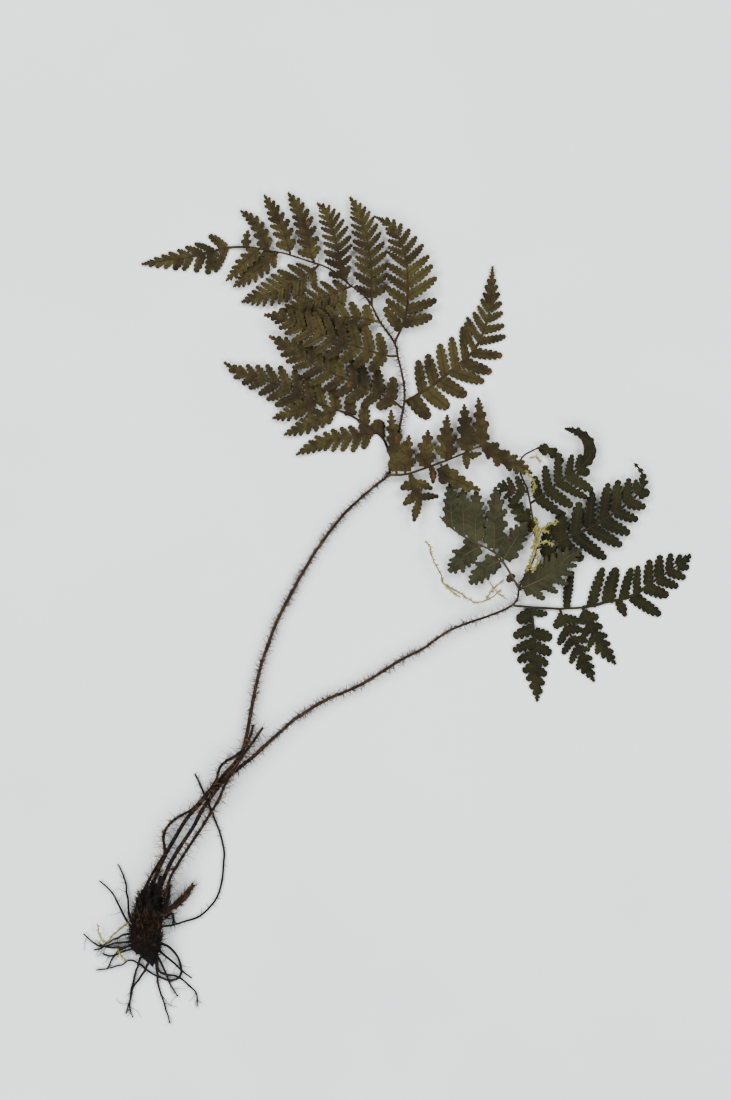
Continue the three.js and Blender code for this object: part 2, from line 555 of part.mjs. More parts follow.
// Pinnae of the upper frond, counted from its base on the outer and on the inner side of its bend
const UPPER_PINNAE = [
  {
    name: "upper_frond_tip", level: 0,
    blades: [{
      rib: [
        [-58, 151], [-62, 151.2], [-68.5, 150.8], [-74.8, 149.1], [-83.2, 147], [-91.6, 145.7], [-103.6, 144],
      ],
      left: row(9, [11, 10.5, 8, 5, 3, 1.2], { from: 0.16 }),
      right: row(9, [6.5, 6.5, 5.5, 4.2, 2.4, 1], { from: 0.16, slant: [44, 36] }),
    }],
  },
  {
    name: "upper_outer_pinna_9", level: 2,
    blades: [{
      rib: [[-59.6, 150.6], [-59.4, 155], [-58.6, 158.2]],
      left: row(3, [2.8, 2, 1]), right: row(3, [2.8, 2, 1]),
    }],
  },
  {
    name: "upper_outer_pinna_8", level: 1,
    blades: [{
      rib: [[-50, 149.6], [-53, 156.5], [-56, 161.5], [-62, 166.5]],
      left: row(7, [4, 3.6, 2.8, 1]), right: row(7, [2.8, 3.4, 3, 1]),
    }],
  },
  {
    name: "upper_outer_pinna_7", level: 2,
    blades: [{
      rib: [[-41, 148], [-43, 155], [-45, 160], [-48, 166], [-52, 173]],
      left: row(8, [5, 4.9, 4.6, 3, 1]), right: row(8, [3.6, 4, 4.2, 3.4, 1.2]),
    }],
  },
  {
    name: "upper_outer_pinna_6", level: 1,
    blades: [{
      rib: [[-31, 144.4], [-32.5, 149], [-33.5, 154], [-35, 160], [-38, 167], [-42, 174]],
      left: row(9, [5.6, 4.9, 4.4, 3.4, 1]), right: row(9, [4.4, 4.6, 4.8, 4.2, 1.4]),
    }],
  },
  {
    name: "upper_outer_pinna_5", level: 2,
    blades: [{
      rib: [
        [-17, 135.8], [-19.3, 141], [-20.5, 146], [-21.5, 152], [-23.7, 160], [-26.2, 166], [-29.8, 169.4],
      ],
      left: row(11, [4, 6.4, 5.9, 5.4, 4.3, 1.4]), right: row(11, [2.6, 5.2, 6.6, 6.4, 5, 1.6]),
    }],
  },
  {
    name: "upper_outer_pinna_4", level: 1,
    blades: [{
      rib: [[-6.8, 126.5], [-7, 135], [-7, 143], [-8, 150], [-10, 159], [-12.5, 166], [-16, 172]],
      left: row(13, [7, 7.6, 6.9, 6.2, 4.6, 1.4]), right: row(13, [6.4, 7.2, 7.4, 6.6, 4.8, 1.6]),
    }],
  },
  {
    name: "upper_outer_pinna_3", level: 2,
    blades: [{
      rib: [
        [2.7, 110.8], [6, 118], [7.6, 124], [8.3, 130], [8.2, 138], [7.5, 146], [5, 154], [1, 160], [-6, 164],
      ],
      left: row(13, [9, 10, 9.8, 9.6, 9.4, 8, 5.4, 2.8, 0.8], { taper: 0.45 }),
      right: row(13, [7, 10, 11.8, 12, 11.2, 8.6, 5.8, 2.8, 0.8], { from: 0.1, taper: 0.45 }),
    }],
  },
  {
    name: "upper_inner_pinna_8", level: 2,
    blades: [{
      rib: [[-53.6, 150.4], [-57, 147.8], [-60.5, 144.5], [-64, 140.4], [-68, 136.8]],
      left: row(7, [3.6, 3.8, 3.2, 1]), right: row(7, [3.4, 3.6, 3, 1]),
    }],
  },
  {
    name: "upper_inner_pinna_7", level: 1,
    blades: [{
      rib: [[-46, 148.8], [-49, 146.6], [-53, 143.5], [-58, 139], [-65, 134.3]],
      left: row(8, [4.6, 5, 4, 1.2]), right: row(8, [4, 4.4, 3.8, 1.2]),
    }],
  },
  {
    name: "upper_inner_pinna_6", level: 0,
    blades: [{
      rib: [[-29, 143.7], [-32, 140.8], [-38, 137.6], [-45, 134], [-52, 131], [-61.5, 128]],
      left: row(11, [6, 7, 7, 5, 1.4]), right: row(11, [5, 7.6, 7.4, 5, 1.4]),
    }],
  },
  {
    name: "upper_inner_pinna_5", level: 1,
    blades: [{
      rib: [[-15.4, 134.6], [-20, 132.6], [-25, 130.8], [-30, 129], [-37, 126.5], [-46, 123.5]],
      left: row(10, [7, 8, 7, 4, 1.4]), right: row(10, [4, 6.6, 6.5, 4, 1.4]),
    }],
  },
  {
    name: "upper_inner_pinna_4", level: 2,
    blades: [{
      rib: [[-3.6, 119.6], [-12, 121.3], [-18, 121.4], [-25, 120.8], [-34, 119.6], [-44, 117.5]],
      left: row(10, [5, 7, 7, 5, 1.4]), right: row(10, [5, 6.6, 6, 4, 1.4]),
    }],
  },
  {
    name: "upper_inner_pinna_3", level: 3,
    blades: [{
      rib: [
        [4, 105.2], [0, 105.3], [-8, 107.5], [-19, 111], [-30, 115], [-37, 118], [-45, 121.4], [-52, 122.5],
      ],
      left: row(12, [7, 9, 9, 8.5, 6, 1.5]), right: row(12, [7, 9.4, 9.4, 8.8, 6, 1.5]),
    }],
  },
  {
    name: "upper_inner_pinna_2", level: 1,
    blades: [{
      rib: [
        [6.4, 83.2], [1, 87.2], [-4, 89.8], [-8, 91.3], [-15, 94.5], [-20, 96.5], [-28, 100.2], [-35, 104.5],
        [-45, 111], [-50, 113.7],
      ],
      left: row(13, [5, 8, 9, 8.5, 6, 1.5]), right: row(13, [8, 9.4, 9, 8, 5.5, 1.5]),
    }],
  },
  {
    name: "upper_inner_pinna_1", level: 0,
    blades: [
      {
        rib: [
          [1.7, 61.4], [-0.8, 68], [-2.6, 71.4], [-7.6, 75.2], [-13.9, 79.4], [-20.2, 82.3], [-28.6, 85.3],
          [-37, 89.5], [-45.4, 93.2], [-53.8, 95.8], [-62, 98.3], [-69, 102.8],
        ],
        left: row(9, [8, 9, 9, 7, 4, 1.2], { from: 0.47 }),
        right: row(14, [4, 6, 8, 9, 8.6, 7, 5, 1.2], { from: 0.12 }),
      },
      {
        rib: [[-29.5, 86], [-36, 84], [-41, 81.4], [-48.6, 79.2]],
        left: row(7, [4.2, 4.4, 3.4, 1.2]), right: row(7, [3.6, 4, 3, 1]),
      },
      {
        rib: [[-21, 82.8], [-27, 80.5], [-32, 77.5], [-36, 75.5], [-43.8, 72.2]],
        left: row(8, [4.4, 4.8, 3.8, 1.2]), right: row(8, [4, 4.4, 3.5, 1]),
      },
      {
        rib: [[-4.6, 73.2], [-13, 71.4], [-20, 70.7], [-27, 69.6], [-33, 67], [-38.7, 63.8]],
        left: row(10, [5, 6, 5.2, 3.5, 1.2]), right: row(10, [4.6, 5.4, 4.5, 3, 1]),
      },
    ],
  },
  {
    name: "upper_outer_pinna_2", level: 0,
    blades: [{
      rib: [
        [6.7, 86], [10, 88], [15, 90.5], [20, 94], [25, 98], [30, 102], [35, 106.5], [38, 111], [40.2, 116],
        [41.8, 121], [43, 128], [43.5, 135], [43.9, 143.2],
      ],
      left: row(15, [12.6, 12.6, 12.2, 11.8, 11, 9, 5.2, 2.8, 1], {
        from: 0.08, slant: [72, 60, 48, 40], taper: 0.38,
      }),
      right: row(15, [11, 12, 12.3, 12.4, 12, 10, 6, 3, 1], {
        from: 0, slant: [84, 58, 50, 42], taper: 0.5,
      }),
    }],
  },
  {
    name: "upper_outer_pinna_1", level: 3,
    blades: [
      {
        rib: [
          [-0.4, 55.4], [7.1, 55.6], [13.4, 57.5], [21.8, 60.5], [30.2, 63.8], [38.6, 67.4], [42.8, 65.9],
          [47, 63], [51.2, 60.9], [55.4, 58.6], [60.5, 55.9],
        ],
        left: row(6, [3.4, 4.4, 4.2, 3.6, 1], { from: 0.63 }),
        right: row(6, [3.4, 4, 4, 3.4, 1], { from: 0.63 }),
      },
      {
        rib: [[3.6, 55.6], [3, 62], [2.4, 70], [1.6, 76], [1.2, 82.8]],
        left: row(6, [2.6, 3.4, 3, 2.4, 1]), right: row(6, [4.6, 5.6, 4, 2.6, 1.2]),
      },
      {
        rib: [[7.2, 56], [7.4, 62], [8, 67], [8.8, 72.2]],
        left: row(4, [3.8, 4.2, 2.6, 1]), right: row(4, [3.8, 4.4, 3, 1.2]),
      },
      {
        rib: [[15.4, 58], [15.8, 64], [16.4, 70], [16.8, 74.4]],
        left: row(4, [4, 4.4, 3.4, 1]), right: row(4, [4.4, 4.4, 3.6, 1]),
      },
      {
        rib: [[24.2, 61], [24.6, 68], [24.6, 75], [24.9, 80.8]],
        left: row(5, [3.8, 4.6, 4.6, 2.6, 1]), right: row(5, [4, 4.4, 4.2, 2.2, 1]),
      },
      {
        rib: [[32.6, 64.4], [33, 71], [32.4, 78], [31.9, 85.2]],
        left: row(5, [3.4, 4, 4.2, 2.8, 1]), right: row(5, [3.6, 4.2, 3.2, 2.6, 1]),
      },
      {
        rib: [[38.6, 67], [39.4, 74], [38.6, 81], [37.8, 88]],
        left: row(5, [2.8, 3.6, 3.4, 2.4, 1]), right: row(5, [2.8, 3.4, 2.8, 2.2, 1]),
      },
      {
        rib: [[9.2, 56], [10.5, 52], [11.9, 48], [12.8, 44], [11.7, 40], [10.8, 35.8]],
        ribWidths: [0.8, 1.7, 2.3, 1.5, 1.9, 0.6],
      },
      { rib: [[11, 51.4], [8, 50.8], [5.2, 49.6]], ribWidths: [1.9, 2.2, 0.8] },
      { rib: [[12, 47], [9, 45], [6.4, 42.8]], ribWidths: [1.9, 2, 0.7] },
      { rib: [[10.6, 52.2], [14, 51.6], [18.6, 49.6]], ribWidths: [1.3, 2, 0.7] },
      { rib: [[12.6, 45.6], [16.4, 46.4], [21.2, 46.4]], ribWidths: [1.4, 1.7, 0.7] },
      { rib: [[18, 59], [18.8, 55.6], [18.8, 51.8]], ribWidths: [1, 1.6, 0.5] },
      {
        rib: [[22, 60], [24.5, 55.8], [28.5, 53], [33, 50.8], [38.8, 49]],
        left: row(4, [5.6, 4.4, 3, 1.2], { slant: [56, 40] }),
        right: row(4, [5, 4, 2.4, 1.2], { slant: [56, 44] }),
      },
      { rib: [[32, 64], [32.8, 61.4], [33.1, 57.8]], ribWidths: [1.1, 1.7, 0.5] },
      { rib: [[31.2, 63.4], [35.4, 63.6], [39.2, 64.5]], ribWidths: [1.1, 1.7, 0.5] },
    ],
  },
];

// Pinnae of the lower frond, counted from its base on its left and on its right
const LOWER_PINNAE = [
  {
    name: "lower_left_pinna_1", level: 1, finish: LEAF_UNDERSIDE,
    blades: [
      {
        rib: [
          [54.8, 8], [51.7, 13.4], [48.3, 18.9], [44.9, 22.7], [40.7, 25.2], [34.4, 28.1], [29.4, 31.1],
          [25.2, 34.4], [21.6, 38.2],
        ],
      },
      {
        rib: [[27.2, 32.6], [26.6, 38], [26.2, 45], [26, 52.6]],
        left: row(6, [3.6, 4, 3.4, 2.6, 1]), right: row(6, [3.8, 4.2, 3.8, 3, 1.2]),
      },
      {
        rib: [[32, 29.2], [31.6, 36], [31.4, 43], [31.4, 50.2]],
        left: row(6, [3.4, 3.8, 3.4, 2.8, 1]), right: row(6, [3.4, 3.8, 3.4, 2.8, 1]),
      },
      {
        rib: [[37, 26.6], [36.6, 33], [36.8, 41], [37, 48.6]],
        left: row(6, [3.8, 4.2, 4, 3.4, 2]), right: row(6, [4, 4.6, 4.4, 3.8, 2]),
      },
      {
        rib: [[44.4, 23.2], [44.6, 32], [45, 41], [45, 50.5]],
        left: row(6, [4, 4.4, 4.2, 3.4, 1.4]), right: row(6, [4.8, 5.8, 5.6, 4.2, 1.4]),
      },
      {
        rib: [[48, 19.4], [51.4, 25], [54.6, 30], [58.4, 35.6]],
        left: row(6, [4.8, 5.6, 5, 1.6]), right: row(6, [4.6, 4.9, 4.6, 1.4]),
      },
      {
        rib: [[39.4, 25.6], [34, 23], [29.6, 18.6], [25.4, 14.8]],
        left: row(5, [4.2, 5.4, 5.2, 2.4]), right: row(5, [4.4, 5.8, 5, 2.2]),
      },
      {
        rib: [[47.6, 19.6], [42.4, 17.4], [38.2, 13.6], [34.2, 9.8]],
        left: row(5, [3.8, 4.8, 4.6, 2.2]), right: row(5, [3.8, 4.6, 4.4, 2.2]),
      },
      { rib: [[51.6, 14], [51.6, 12.6], [50, 10.6]], ribWidths: [1.2, 2, 0.7] },
    ],
  },
  {
    name: "lower_right_pinna_2", level: 2, finish: LEAF_UNDERSIDE,
    blades: [{
      rib: [[55, 7.4], [59.6, 9.4], [65.9, 12.6], [71, 16.8], [75.6, 21.2], [81, 24.4]],
      left: row(8, [6, 8, 7.6, 5, 1.8]), right: row(8, [7.4, 8.6, 8.4, 6.4, 2]),
    }],
  },
  {
    name: "lower_left_pinna_2", level: 0, finish: DARK_LEAF,
    blades: [{
      rib: [[61.6, 31], [58.6, 36], [54.6, 41], [50.6, 45.6]],
      left: row(5, [4, 4.6, 4, 1.6]), right: row(5, [3.6, 4, 3.6, 1.6]),
    }],
  },
  {
    name: "lower_left_pinna_3", level: 2, finish: DARK_LEAF,
    blades: [{
      rib: [[58.8, 48.2], [54.6, 48.8], [50.4, 49.6], [45.8, 51.4]],
      left: row(4, [7.6, 8.4, 5, 2]), right: row(4, [5.6, 6.4, 5.6, 2]),
    }],
  },
  {
    name: "lower_right_pinna_4", level: 2, finish: DARK_LEAF,
    blades: [
      {
        rib: [[59.6, 43.4], [65.9, 47.9], [72.2, 52.9], [78.5, 57.2], [82, 59.8]],
        left: row(5, [7, 8.8, 9.6, 9.6], { taper: 0 }),
        right: row(5, [9, 11.5, 12, 12.5, 10.5], { taper: 0, slant: [70, 66] }),
      },
      {
        rib: [[81, 59], [84.2, 62.6], [84.4, 67.6], [82.4, 71.4], [79, 73.6], [73.9, 74.9]],
        left: row(7, [1.8, 2.8, 2.6, 2.2, 1.8, 1]), right: row(7, [1.6, 2.6, 2.8, 2.2, 1.8, 1]),
        ribWidths: [1.2, 1.8, 1.4, 0.5],
      },
    ],
  },
  {
    name: "lower_right_pinna_3", level: 1, finish: DARK_LEAF,
    blades: [{
      rib: [
        [62.2, 24.8], [67.2, 25.8], [72.2, 27.9], [78.5, 30.4], [84.8, 33.4], [91.1, 37], [97.4, 41.2],
        [102.5, 45], [105.6, 48.6], [107.2, 53.6], [106, 57.2], [103.2, 60.4],
      ],
      left: row(10, [7, 9.5, 11.5, 12.5, 12.5, 12.8, 12.4, 8.6, 1.4, 1], { from: 0, taper: 0.1 }),
      right: row(10, [8, 9, 11, 13.5, 15.5, 12.5, 8.5, 5.6, 1.4, 1], { from: 0, taper: 0.1 }),
    }],
  },
  {
    name: "lower_right_pinna_1", level: 0, finish: DARK_LEAF,
    blades: [
      {
        rib: [
          [52.6, 0.6], [59.6, 0], [65.9, -0.4], [72.2, -0.7], [80.6, -0.3], [86.9, 0.5], [92, 2], [97.4, 3],
          [103.7, 5.3], [109.2, 9.2], [114.2, 12.6], [119.3, 16], [123.2, 18.7], [127.2, 21.6],
        ],
        left: row(9, [16, 17, 15.5, 13, 12, 9.5, 8.3, 6, 2.4], { from: 0.36, slant: [86, 60, 45] }),
        right: row(6, [10, 13, 13, 8, 8, 5.6, 1.6], { from: 0.58, slant: [75, 64, 58, 46] }),
      },
      { rib: [[96.4, 2.8], [98.2, -0.4], [99.8, -4]], ribWidths: [1.4, 2.2, 0.6] },
      { rib: [[75, -0.4], [75.6, 7], [77.6, 15]], ribWidths: [1.4, 2.1, 0.8] },
      {
        rib: [[60.2, 0], [60.8, -5.5], [61.7, -13.9], [61.9, -24.4], [62.6, -39.8]],
        left: row(7, [6.6, 7.4, 6.6, 5.2, 3.4, 1.4], { from: 0.2, slant: [68, 58] }),
        right: row(9, [7, 7, 9.4, 9.6, 8, 5, 3, 1], { from: 0, slant: [80, 58], taper: 0.45 }),
      },
      { rib: [[60.6, -2.2], [64, -2.8], [67, -2.8]], ribWidths: [1, 1.7, 0.8] },
      {
        rib: [[72, -0.6], [74, -6], [76.5, -11.5], [80, -18.5], [83.5, -25], [86.6, -31.4]],
        left: row(8, [6, 6.6, 6, 5.4, 4.4, 3, 1.2]), right: row(8, [3, 5.6, 7, 6.4, 4, 1.2]),
      },
      {
        rib: [[81.6, -0.2], [83.5, -4.5], [85.7, -9.5], [89, -15], [92, -19.5], [95.6, -24.2]],
        left: row(7, [3.6, 4.8, 4.8, 4.2, 3.2, 1.2]), right: row(7, [2.4, 3.8, 5.4, 5, 3, 1]),
      },
    ],
  },
  {
    name: "lower_frond_tip", level: 0, finish: DARK_LEAF,
    blades: [{
      rib: [[62.6, 66.8], [67.5, 65.8], [70.8, 63.6], [73.8, 61]],
      left: row(4, [1.8, 2.4, 2.2, 1]), right: row(4, [2.2, 2.8, 2.4, 1]),
    }],
  },
];

function rachisCorridor(route, radius) {
  const curve = flatCurve(route.map(([x, y]) => [x, y]));
  const steps = Math.round(curve.getLength() / 4);
  const width = radius + CLEARANCE;
  return flatSolid(ribbon(curve, [width, width], steps)).scale([1, 1, 3]).translate([0, 0, -1]);
}

const STIPE_RADII = [STIPE_RADIUS, 0.84, RACHIS_RADIUS, RACHIS_TIP_RADIUS];
const OLD_STALK_RADII = [OLD_STALK_RADIUS, 0.55];
const UPPER_RACHIS_FROM = 26;
const LOWER_RACHIS_FROM = 35;

const upperCorridor = rachisCorridor(UPPER_STALK.slice(UPPER_RACHIS_FROM), RACHIS_RADIUS);
const lowerCorridor = rachisCorridor(LOWER_STALK.slice(LOWER_RACHIS_FROM), RACHIS_RADIUS);

const fern = new THREE.Group();
fern.add(rhizomeMesh());
fern.add(stalkMesh(
  "upper_stipe_and_rachis", UPPER_STALK, STIPE_RADII,
  { count: 40, from: 0.13, to: 0.58, skip: [[0.14, 0.22]], seed: 11 }, STALK_BROWN,
));
fern.add(stalkMesh(
  "lower_stipe_and_rachis", LOWER_STALK, STIPE_RADII,
  { count: 36, from: 0.28, to: 0.72, skip: [], seed: 23 }, STALK_BROWN,
));
fern.add(stalkMesh("old_stalk_right", OLD_STALK_RIGHT, OLD_STALK_RADII, null, STALK_BROWN));
fern.add(stalkMesh("old_stalk_left", OLD_STALK_LEFT, OLD_STALK_RADII, null, STALK_BROWN));
fern.add(stalkMesh("wiry_stalk", WIRY_STALK, [WIRY_STALK_RADIUS, WIRY_STALK_RADIUS], null, ROOT_BLACK));
fern.add(stalkMesh(
  "frond_bud", FROND_BUD, [OLD_STALK_RADIUS, 1.3, 1.2, 0.5],
  { count: 16, from: 0.3, to: 0.95, skip: [], seed: 5 }, BUD_TAN,
));
UPPER_PINNAE.forEach((pinna) => fern.add(pinnaMesh({ finish: OLIVE_LEAF, ...pinna }, upperCorridor)));
LOWER_PINNAE.forEach((pinna) => fern.add(pinnaMesh(pinna, lowerCorridor)));

export default fern;
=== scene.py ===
"""Pressed fern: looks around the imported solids.

Sheets of leaflets, scaly stalks, a fibrous rhizome with wiry roots, and moss caught in the fronds.
"""

import logging
import math
import random
from collections.abc import Callable
from dataclasses import dataclass, field
from enum import Enum

import bpy
import numpy as np
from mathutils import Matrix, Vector, noise
from mathutils.geometry import delaunay_2d_cdt


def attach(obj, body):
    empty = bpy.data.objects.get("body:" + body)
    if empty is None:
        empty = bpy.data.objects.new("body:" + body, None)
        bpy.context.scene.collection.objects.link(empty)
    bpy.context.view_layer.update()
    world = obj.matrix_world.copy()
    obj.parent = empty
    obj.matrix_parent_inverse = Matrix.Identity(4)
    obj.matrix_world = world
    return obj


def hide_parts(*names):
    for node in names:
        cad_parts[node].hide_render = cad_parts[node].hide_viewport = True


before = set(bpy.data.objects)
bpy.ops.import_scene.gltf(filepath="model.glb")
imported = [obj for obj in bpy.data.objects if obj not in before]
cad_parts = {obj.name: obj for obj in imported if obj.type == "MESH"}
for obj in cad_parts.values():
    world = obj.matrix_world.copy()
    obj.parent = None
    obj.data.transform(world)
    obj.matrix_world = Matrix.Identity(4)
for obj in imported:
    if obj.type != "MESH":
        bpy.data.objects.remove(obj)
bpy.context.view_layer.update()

log = logging.getLogger("pressed_fern")

MM = 0.001
BODY = "root"

# Where the sheets lie, as in the solids (mm)
LEVEL_HEIGHTS = (0.0, 0.9, 1.8, 2.75)
BLADE_ROOM = 0.6
BLADE_THICKNESS = 0.3
RACHIS_HEIGHT = 1.65
WIRY_STALK_HEIGHT = 0.55
ROOT_HEIGHT = 0.6
WAVE_HEIGHT = 1.2
WAVE_LENGTH = 168.0
WAVE_LOW_AT = 104.0
WAVE_FADE_FROM = -60.0
WAVE_FADE_TO = 0.0

# What the camera sees: height and middle on the ground (mm), from this far above (m)
VIEW_HEIGHT = 462.0
VIEW_MIDDLE = (-9.45, 23.94)
CAMERA_HEIGHT = 1.6

# Half the length over which a route's direction is read (mm)
HEADING_REACH = 0.6

Point = tuple[float, float]
Points = list[list[float]]
Colour = tuple[float, float, float, float]
Node = bpy.types.Node
Socket = bpy.types.NodeSocket
SocketList = bpy.types.bpy_prop_collection
NodeTree = bpy.types.NodeTree
Material = bpy.types.Material
Object = bpy.types.Object


class Leaf(Enum):
    """Which face of which frond shows."""

    OLIVE = "olive_leaf"
    DARK = "dark_leaf"
    UNDERSIDE = "leaf_underside"


def srgb(red: int, green: int, blue: int) -> Colour:
    """Turns a display colour into a linear one.

    Args:
        red, green, blue: display values from 0 to 255.

    Returns:
        The linear colour with full alpha.
    """
    def channel(value: int) -> float:
        """One display value as a linear one."""
        share = value / 255
        return share / 12.92 if share <= 0.04045 else ((share + 0.055) / 1.055) ** 2.4

    return (channel(red), channel(green), channel(blue), 1.0)


def smoothstep(value: float, low: float, high: float) -> float:
    """Eases from 0 at low to 1 at high."""
    share = min(1.0, max(0.0, (value - low) / (high - low)))
    return share * share * (3 - 2 * share)


def sheet_wave(x: float, y: float) -> float:
    """Height of the pressed sheet above the ground at a point, in mm."""
    phase = 2 * math.pi * (x - y - WAVE_LOW_AT) / WAVE_LENGTH
    return smoothstep(y, WAVE_FADE_FROM, WAVE_FADE_TO) * WAVE_HEIGHT * (1 - math.cos(phase)) / 2


def along(values: list[float], share: float) -> float:
    """Reads a value from a short list spread evenly over share from 0 to 1."""
    place = min(1.0, max(0.0, share)) * (len(values) - 1)
    before = min(int(place), len(values) - 2)
    return values[before] + (values[before + 1] - values[before]) * (place - before)


class Route:
    """A smooth line through points, read by its length."""

    STEPS = 14

    def __init__(self, points: Points) -> None:
        """Samples the line.

        Args:
            points: two or three numbers each, in mm.
        """
        held = [Vector(point).to_3d() for point in points]
        held = [held[0] * 2 - held[1], *held, held[-1] * 2 - held[-2]]
        self.places: list[Vector] = []
        for i in range(1, len(held) - 2):
            before, start, end, after = held[i - 1:i + 3]
            for k in range(self.STEPS):
                self.places.append(self._between(before, start, end, after, k / self.STEPS))
        self.places.append(held[-2])
        self.reached = [0.0]
        for start, end in zip(self.places, self.places[1:]):
            self.reached.append(self.reached[-1] + (end - start).length)
        self.length = self.reached[-1]

    @staticmethod
    def _between(before: Vector, start: Vector, end: Vector, after: Vector, share: float) -> Vector:
        """One place on a Catmull-Rom span."""
        lead = (end - before) * 0.5
        lag = (after - start) * 0.5
        square = share * share
        cube = square * share
        return (
            start * (2 * cube - 3 * square + 1) + lead * (cube - 2 * square + share)
            + end * (3 * square - 2 * cube) + lag * (cube - square)
        )

    def at(self, share: float) -> Vector:
        """The place at a share of the length."""
        goal = min(1.0, max(0.0, share)) * self.length
        index = int(np.searchsorted(self.reached, goal, side="right")) - 1
        index = min(index, len(self.places) - 2)
        span = self.reached[index + 1] - self.reached[index]
        rest = (goal - self.reached[index]) / span if span > 0 else 0.0
        return self.places[index].lerp(self.places[index + 1], rest)

    def heading(self, share: float) -> Vector:
        """The direction of travel at a share of the length."""
        reach = HEADING_REACH / self.length
        return (self.at(share + reach) - self.at(share - reach)).normalized()

    def shares(self, step: float, least: int) -> list[float]:
        """Even shares of the length, about a step apart, with at least so many spans."""
        steps = max(least, round(self.length / step))
        return [i / steps for i in range(steps + 1)]

    def band(self, stations: list[Point]) -> tuple[list[Vector], list[Vector]]:
        """The left and right edges of a band, from its half width at each share."""
        left, right = [], []
        for share, width in stations:
            aside = turned(self.heading(share), 90) * width
            left.append(self.at(share) + aside)
            right.append(self.at(share) - aside)
        return left, right


def turned(vector: Vector, degrees: float) -> Vector:
    """A flat vector turned to its left."""
    angle = math.radians(degrees)
    cosine, sine = math.cos(angle), math.sin(angle)
    return Vector((vector.x * cosine - vector.y * sine, vector.x * sine + vector.y * cosine, 0))


# Leaf sheets

@dataclass
class Row:
    """Leaflets along one side of a rib.

    Attributes:
        count: how many.
        reach: how far they stand off the rib, in mm, spread evenly along the row.
        start: where the row starts, as a share of the rib.
        slant: degrees between leaflet and rib, from the foot to the tip.
        taper: how much closer they stand towards the tip.
    """

    count: int
    reach: list[float]
    start: float = 0.05
    slant: list[float] = field(default_factory=lambda: [64, 42])
    taper: float = 0.3


@dataclass
class Blade:
    """A rib and what stands on its two sides."""

    rib: Points
    left: Row | None = None
    right: Row | None = None
    rib_widths: list[float] | None = None

    @property
    def is_lone(self) -> bool:
        """Whether it is a single leaflet, without rows."""
        return bool(self.rib_widths) and not self.left


@dataclass
class Pinna:
    """One division of a frond: a sheet at one level, cut to its leaflets.

    Attributes:
        wing: share of their length by which short and long leaflets are joined at their feet.
        spread: how wide its leaflets are, against the usual.
    """

    name: str
    level: int
    blades: list[Blade]
    leaf: Leaf = Leaf.OLIVE
    wing: Point = (0.42, 0.04)
    spread: float = 1.0


@dataclass
class Lobe:
    """A leaflet laid out flat.

    Attributes:
        base, axis, across: where it starts, which way it runs, and its left.
        length, half_width: in mm.
        acroscopic: 1 or -1, the side that faces the tip of its rib.
        joined: 0 for a leaflet that stands alone to 1 for one that runs into its neighbours.
    """

    base: Vector
    axis: Vector
    across: Vector
    length: float
    half_width: float
    acroscopic: int
    joined: float
    teeth: int
    tone: float
    curl: float
    droop: float


# Leaflet outlines: places along them, and the half width there against the widest
EDGE_PLACES = (0.0, 0.1, 0.3, 0.5, 0.7, 0.86, 0.95, 1.0)
LONG_EDGE = (0.84, 0.97, 1.04, 1.02, 0.94, 0.76, 0.52, 0.16)
STANDALONE_EDGE = (0.9, 0.99, 1.03, 1.01, 0.93, 0.74, 0.5, 0.16)
JOINED_PLACES = (0.0, 0.15, 0.35, 0.6, 0.8, 0.93, 1.0)
JOINED_EDGE = (1.4, 1.3, 1.14, 0.98, 0.78, 0.5, 0.1)

# Lengths over which a leaflet's outline turns into the long one (mm)
SLENDER_LENGTHS = (9.0, 14.0)

# One tooth: places along it, and its height there
TOOTH_SHAPE = ((0.0, 0.0), (0.2, 0.5), (0.48, 0.88), (0.74, 1.0), (0.93, 0.66))


def edge_width(lobe: Lobe, share: float) -> float:
    """The half width of a leaflet without its teeth, in mm."""
    slender = smoothstep(lobe.length, *SLENDER_LENGTHS)
    short_width = np.interp(share, EDGE_PLACES, STANDALONE_EDGE)
    long_width = np.interp(share, EDGE_PLACES, LONG_EDGE)
    joined_width = np.interp(share, JOINED_PLACES, JOINED_EDGE)
    alone = short_width * (1 - slender) + long_width * slender
    mixed = alone * (1 - lobe.joined) + joined_width * lobe.joined
    return float(mixed * lobe.half_width)


def toothed_edge(teeth: int) -> list[tuple[int, float, float]]:
    """The corners of a toothed edge: number of the tooth, share along the edge, and height."""
    return [
        (tooth, (tooth + place) / teeth, height)
        for tooth in range(teeth) for place, height in TOOTH_SHAPE
    ]


